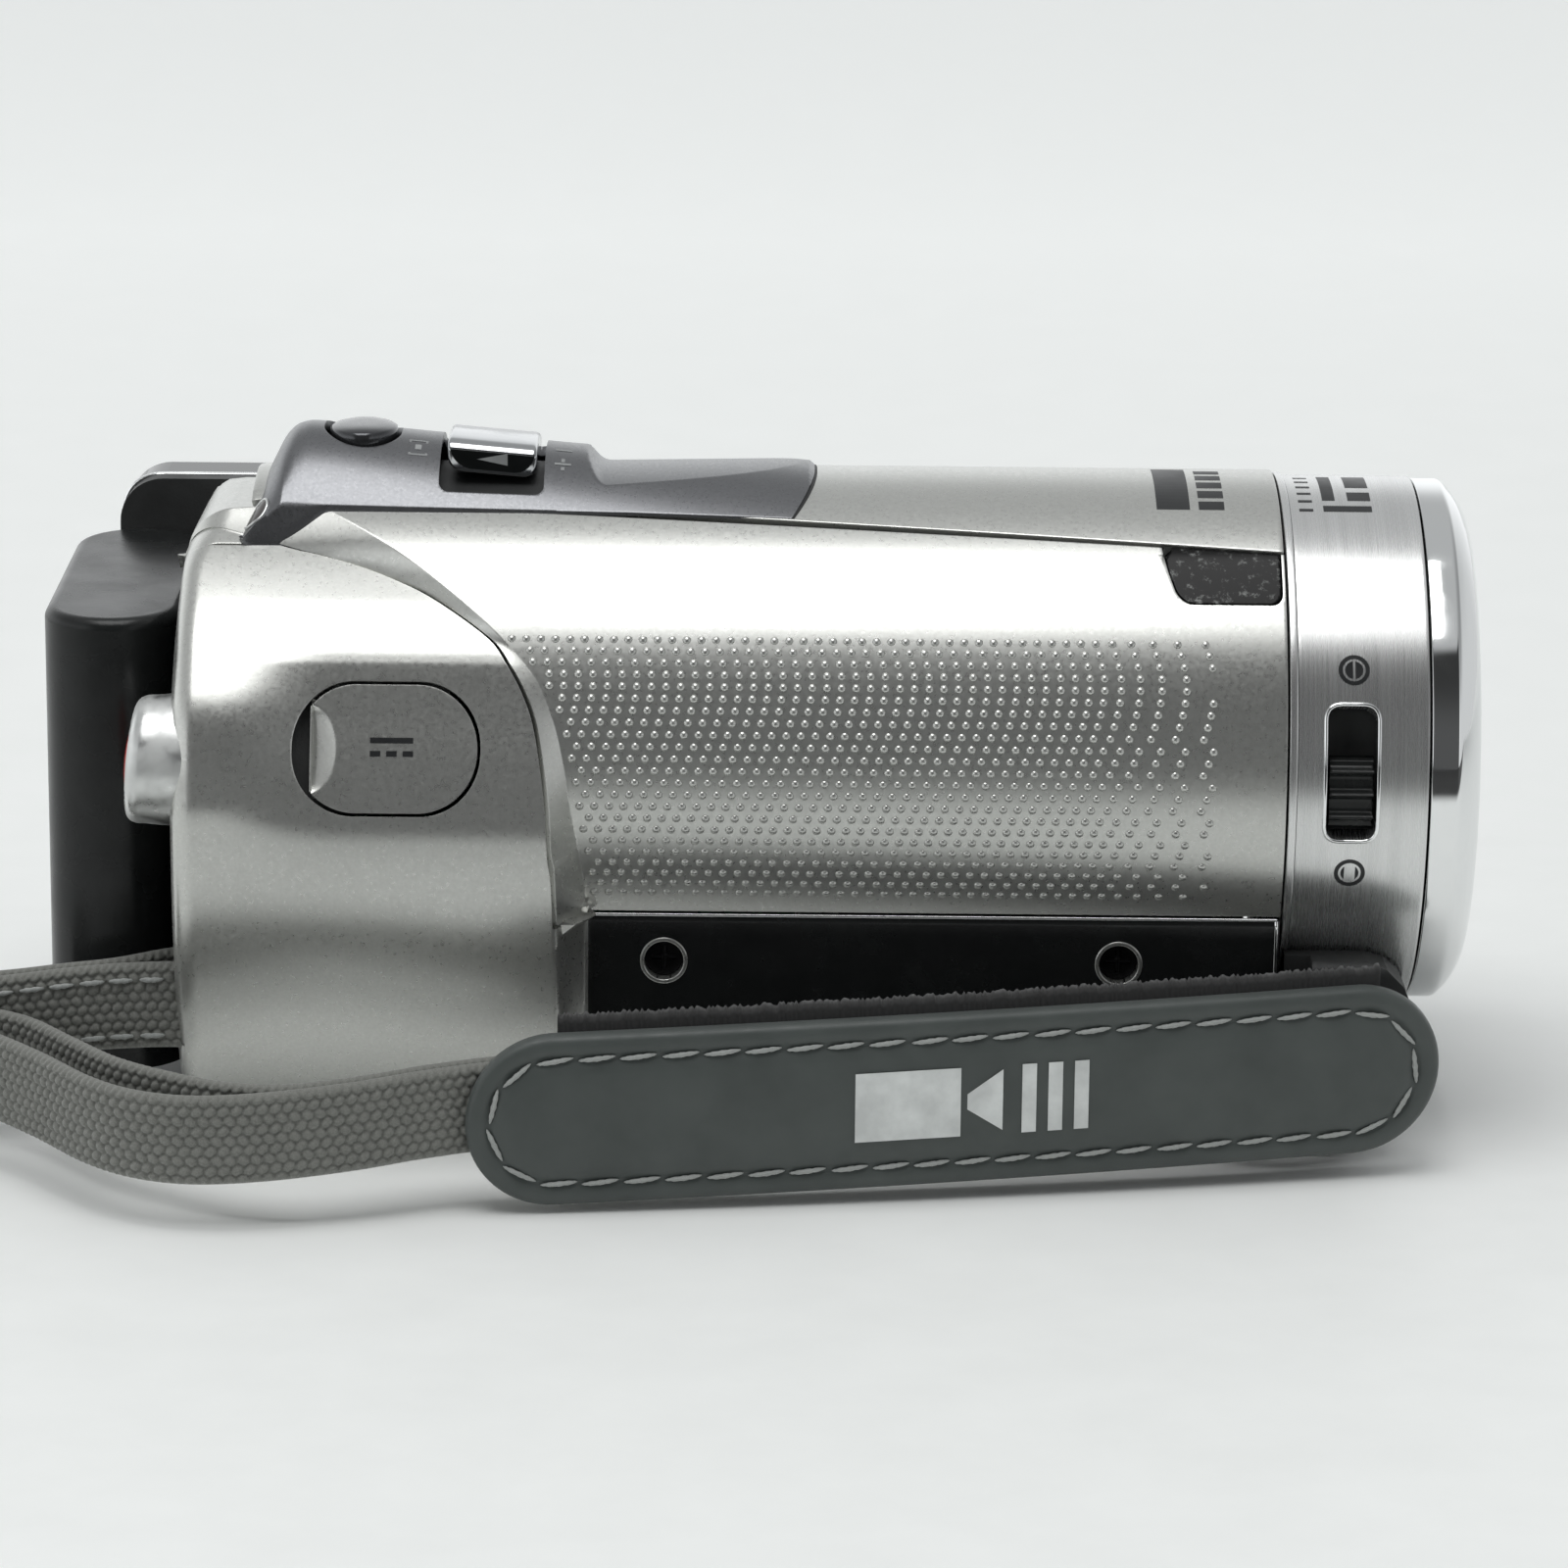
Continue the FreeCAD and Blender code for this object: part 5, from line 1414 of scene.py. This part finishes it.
pad_low, pad_high = extent("strap_pad")
PAD_THICK = 1.8
PAD_BOW = 1.2
PAD_REAR_Y, PAD_FRONT_Y = -37.6, -25.2
PAD_MID_Z = 8.8
PAD_HALF = 6.6
PAD_DROOP = math.tan(math.radians(1.36))     # the rear end hangs lower
STITCH_INSET = 1.75


def droop(points):
    """Lets the rear end of the pad's parts hang down a little."""
    points = np.array(points, float)
    points[..., 2] -= (pad_high.x - points[..., 0]) * PAD_DROOP
    return points


def pad_face_y(x):
    """The pad's outer face, bowed outward between its ends."""
    share = (x - pad_low.x) / (pad_high.x - pad_low.x)
    return PAD_REAR_Y + (PAD_FRONT_Y - PAD_REAR_Y) * share - PAD_BOW * 4 * share * (1 - share)


def pad_outline():
    """The pad's stadium as (x, z, outward x, outward z), counter-clockwise, half a millimetre apart."""
    points = []
    for middle, start in ((pad_high.x - PAD_HALF, -90), (pad_low.x + PAD_HALF, 90)):
        for t in np.linspace(start, start + 180, 64):
            out_x, out_z = math.cos(math.radians(t)), math.sin(math.radians(t))
            points.append((middle + PAD_HALF * out_x, PAD_MID_Z + PAD_HALF * out_z, out_x, out_z))
    closed = np.array(points + [points[0]])
    where = distance_along(closed[:, :2])
    at = np.linspace(0, where[-1], int(where[-1] / 0.5), endpoint=False)
    return sample(at, where, closed)


def inset_outline(outline, inset):
    """x and z of the outline moved inward."""
    return outline[:, 0] - outline[:, 2] * inset, outline[:, 1] - outline[:, 3] * inset


def strap_pad():
    """Leather pad: a stadium with a rolled edge, a stitched groove and a softly crowned middle."""
    outline = pad_outline()
    along = distance_along(np.vstack([outline[:, :2], outline[:1, :2]]))[:-1]
    profile = [(0.25, -PAD_THICK), (0.02, -PAD_THICK + 0.25), (0.0, -0.75), (0.04, -0.4), (0.2, -0.12),
               (0.45, 0.0), (0.8, 0.06), (1.2, 0.04), (1.5, -0.14), (STITCH_INSET, -0.26), (2.0, -0.14),
               (2.35, 0.08), (3.0, 0.22), (4.0, 0.32), (5.0, 0.38), (6.2, 0.40)]
    rows = []
    for inset, lift in profile:
        x, z = inset_outline(outline, inset)
        near = math.exp(-((inset - STITCH_INSET) / 0.5) ** 2)
        pucker = 0.03 * np.sin(along / 3.05 * 2 * math.pi) * near
        y = pad_face_y(x) - (lift - 0.2) + pucker
        rows.append(np.column_stack([x, y, z]))
    rows = droop(rows)
    count = rows.shape[1]
    faces = grid_faces(len(rows), count, wrap_cols=True)
    faces += cap_strip(rows[-1], (len(rows) - 1) * count) + cap_strip(rows[0], 0)
    obj = fix_normals(make_object("leather_pad", rows, faces))
    dress(obj, "camera", LEATHER, "pad_leather", "strap_pad")


def cap_strip(ring, base):
    """Closes a stadium ring with a strip of quads between its lower and upper halves."""
    count = len(ring)
    half = count // 2
    right = int(np.argsort(ring[:, 0])[-1])
    strips = []
    for i in range(half - 1):
        corners = (right + i, right + i + 1, right - i - 1, right - i)
        strips.append(list(dict.fromkeys(k % count for k in corners)))
    strips.append([(right + half - 1 + k) % count for k in range(count - 2 * half + 3)])
    return [tuple(base + k for k in strip) for strip in strips if len(strip) >= 3]


def pad_stitches():
    """The row of stitches in the pad's groove, a little uneven."""
    x, z = inset_outline(pad_outline(), STITCH_INSET)
    line = droop(np.column_stack([x, pad_face_y(x) + 0.27, z]))
    closed = np.vstack([line, line[:1]])
    where = distance_along(closed)
    count = int(where[-1] / 3.12)
    step = where[-1] / count
    parts = []
    for i in range(count):
        jitter = dice.uniform(-0.06, 0.06)
        ends = [i * step + 0.16 + jitter, (i + 1) * step - 0.22 + jitter]
        a, b = (sample(s % where[-1], where, closed) for s in ends)
        out = np.array([0, -1.0, 0])
        across = np.cross(out, (b - a) / np.linalg.norm(b - a))
        parts.append(thread_piece(a - across * 0.12, b + across * 0.12, out, 0.19))
    dress(join_meshes("pad_stitches", parts), "camera", THREAD, "pad_leather")


def pad_mark():
    """A plain camcorder sign printed on the pad: a body with a lens horn, and three bars."""
    cx, cz = 14.2, PAD_MID_Z
    horn = [(cx - 0.1, cz - 0.6), (cx + 2.6, cz - 2.4), (cx + 2.6, cz + 2.4), (cx - 0.1, cz + 0.6)]
    shapes = [bar(cx - 4.6, cz, 8.0, 5.4), horn] + [bar(cx + 4.6 + 2.0 * i, cz, 1.1, 5.4) for i in range(3)]
    flat_mark("pad_sign", shapes, lambda u, v: droop(np.array([u, pad_face_y(u) - 0.24, v])), "camera",
              WHITE_PRINT, "pad_leather")


def strap_lining():
    """The black hook-and-loop strip behind the leather, with a rough upper edge."""
    low, high = extent("strap_lining")
    low_z, high_z = 4.4, 16.3
    xs = np.linspace(low.x, high.x, 400)
    rows = []
    profile = [(low_z, 0.0), (low_z, 1.8), (low_z + 0.2, 1.9), (high_z - 0.3, 1.9), (high_z, 1.6),
               (high_z, 0.2), (high_z - 0.3, 0.0)]
    rough = np.array([dice.uniform(-0.16, 0.16) for _ in xs])
    for z, depth in profile:
        jag = rough * (1.0 if z > high_z - 0.4 else 0.0)
        rows.append(np.column_stack([xs, pad_face_y(xs) + 2.0 + depth, z + jag]))
    faces = grid_faces(len(rows), len(xs), wrap_rows=True) + strip_ends(len(rows), len(xs))
    obj = fix_normals(make_object("hook_strip", droop(rows), faces))
    dress(obj, "camera", LINING, "pad_lining", "strap_lining")


# ---------------------------------------------------------------- stage, light and camera

CAMERA_DISTANCE = 0.470
CAMERA_TILT = 14.0
LOOK_AT = Vector((0, 0, 0.0244))
FOCAL_MM = 134.3
ROLL = 0.55
LIGHT_AT = (-0.055, -0.145, 0.55)            # the light above, in metres and watts
LIGHT_SIZE = (0.31, 0.39)
LIGHT_WATTS = 1.5


def make_camera():
    data = bpy.data.cameras.new("camera")
    data.lens = FOCAL_MM
    data.sensor_width = 36
    data.clip_start = 0.01
    camera = bpy.data.objects.new("camera", data)
    e = math.radians(CAMERA_TILT)
    back = Vector((0, -math.cos(e), math.sin(e)))
    camera.location = LOOK_AT + back * CAMERA_DISTANCE
    turn = (-back).to_track_quat("-Z", "Y")
    camera.rotation_mode = "QUATERNION"
    camera.rotation_quaternion = Quaternion(-back, math.radians(-ROLL)) @ turn
    bpy.context.scene.collection.objects.link(camera)
    bpy.context.scene.camera = camera


def make_floor():
    """White paper, with the dark table in front of it."""
    size = 3.0
    corners = [(x * size, y * size, 0) for x, y in ((-1, -1), (1, -1), (1, 1), (-1, 1))]
    mesh = bpy.data.meshes.new("floor")
    mesh.from_pydata(corners, [], [(0, 1, 2, 3)])
    floor = bpy.data.objects.new("floor", mesh)
    floor.location.z = -0.00005
    bpy.context.scene.collection.objects.link(floor)
    m = Nodes("floor_paper", (0.93, 0.94, 0.93), 0.6)
    split = m.tree.nodes.new("ShaderNodeSeparateXYZ")
    m.tree.links.new(m.place, split.inputs[0])
    paper = m.mix(m.ramp(m.noise(per_mm(9), 4.0), 0.3, 0.7), (0.91, 0.925, 0.91), (0.94, 0.955, 0.94))
    front = m.ramp(split.outputs["Y"], -0.165, -0.125)
    m.to("Base Color", m.mix(front, (0.03, 0.03, 0.03), paper))
    m.shader.inputs["Emission Color"].default_value = (0.97, 0.99, 0.98, 1)
    m.to("Emission Strength", m.ramp(split.outputs["Y"], -0.02, 0.45, 0.0, 0.26))
    floor.data.materials.append(m.material)


def make_world():
    """A light tent: white overhead and all round, with the dim room behind the camera."""
    world = bpy.data.worlds.new("tent")
    bpy.context.scene.world = world
    world.use_nodes = True
    tree = world.node_tree
    tree.nodes.clear()
    add = tree.nodes.new
    link = tree.links.new
    out = add("ShaderNodeOutputWorld")
    place = add("ShaderNodeTexCoord").outputs["Generated"]
    split = add("ShaderNodeSeparateXYZ")
    link(place, split.inputs[0])

    def ramp(value, low, high, start, end):
        node = map_range(tree, value, low, high, start, end)
        node.interpolation_type = "SMOOTHSTEP"
        return node.outputs[0]

    def times(a, b):
        node = add("ShaderNodeMath")
        node.operation = "MULTIPLY"
        link(a, node.inputs[0])
        link(b, node.inputs[1])
        return node.outputs[0]

    x, y, z = split.outputs
    # the dark opening that the camera looks through
    opening = times(times(ramp(y, -0.34, -0.16, 1.0, 0.0), ramp(z, 0.74, 0.82, 1.0, 0.0)),
                    times(ramp(x, 0.40, 0.60, 1.0, 0.0), ramp(x, -0.60, -0.40, 0.0, 1.0)))
    # the tent is dimmer high up, and brightest low down behind the camera's subject
    high = ramp(z, 0.15, 0.75, 0.0, 1.0)
    tent = ramp(high, 0.0, 1.0, 1.15, 0.50)
    tent = times(tent, ramp(x, 0.25, 0.8, 1.0, 0.6))
    level = times(tent, ramp(opening, 0.0, 1.0, 1.0, 0.08))
    glow = add("ShaderNodeBackground")
    glow.inputs["Color"].default_value = (0.97, 0.99, 1.0, 1)
    link(level, glow.inputs["Strength"])
    # the camera itself sees an even pale backdrop
    seen = add("ShaderNodeBackground")
    seen.inputs["Color"].default_value = (0.80, 0.83, 0.82, 1)
    seen.inputs["Strength"].default_value = 1.0
    pick = add("ShaderNodeMixShader")
    link(add("ShaderNodeLightPath").outputs["Is Camera Ray"], pick.inputs[0])
    link(glow.outputs[0], pick.inputs[1])
    link(seen.outputs[0], pick.inputs[2])
    link(pick.outputs[0], out.inputs[0])


def make_light():
    """A soft panel straight above the front edge of the paper."""
    data = bpy.data.lights.new("overhead", "AREA")
    data.shape = "RECTANGLE"
    data.size, data.size_y = LIGHT_SIZE
    data.energy = LIGHT_WATTS
    light = bpy.data.objects.new("overhead", data)
    light.location = LIGHT_AT
    light.rotation_mode = "QUATERNION"
    light.rotation_quaternion = Vector((0, 0, -1)).to_track_quat("-Z", "Y")
    bpy.context.scene.collection.objects.link(light)


make_camera()
make_floor()
make_world()
make_light()
bpy.context.scene.view_settings.view_transform = "Standard"

dress_cad_nodes()
side_cover()
mic_windows()
right_shell()
screw_collars()
dc_flap()
top_cover()
rear_top_cover()
rear_panel()
left_cover()
grip_dots()
control_deck()
status_lamp()
lever_well()
zoom_lever()
shutter_button()
satin_ring()
front_rings()
cover_knob()
ring_marks()
record_button()
screen_trim()
webbing("strap_outer_web", OUTER_PATH)
webbing("strap_inner_web", INNER_PATH)
webbing("strap_front_web", FRONT_PATH)
web_stitches()
strap_pad()
pad_stitches()
pad_mark()
strap_lining()
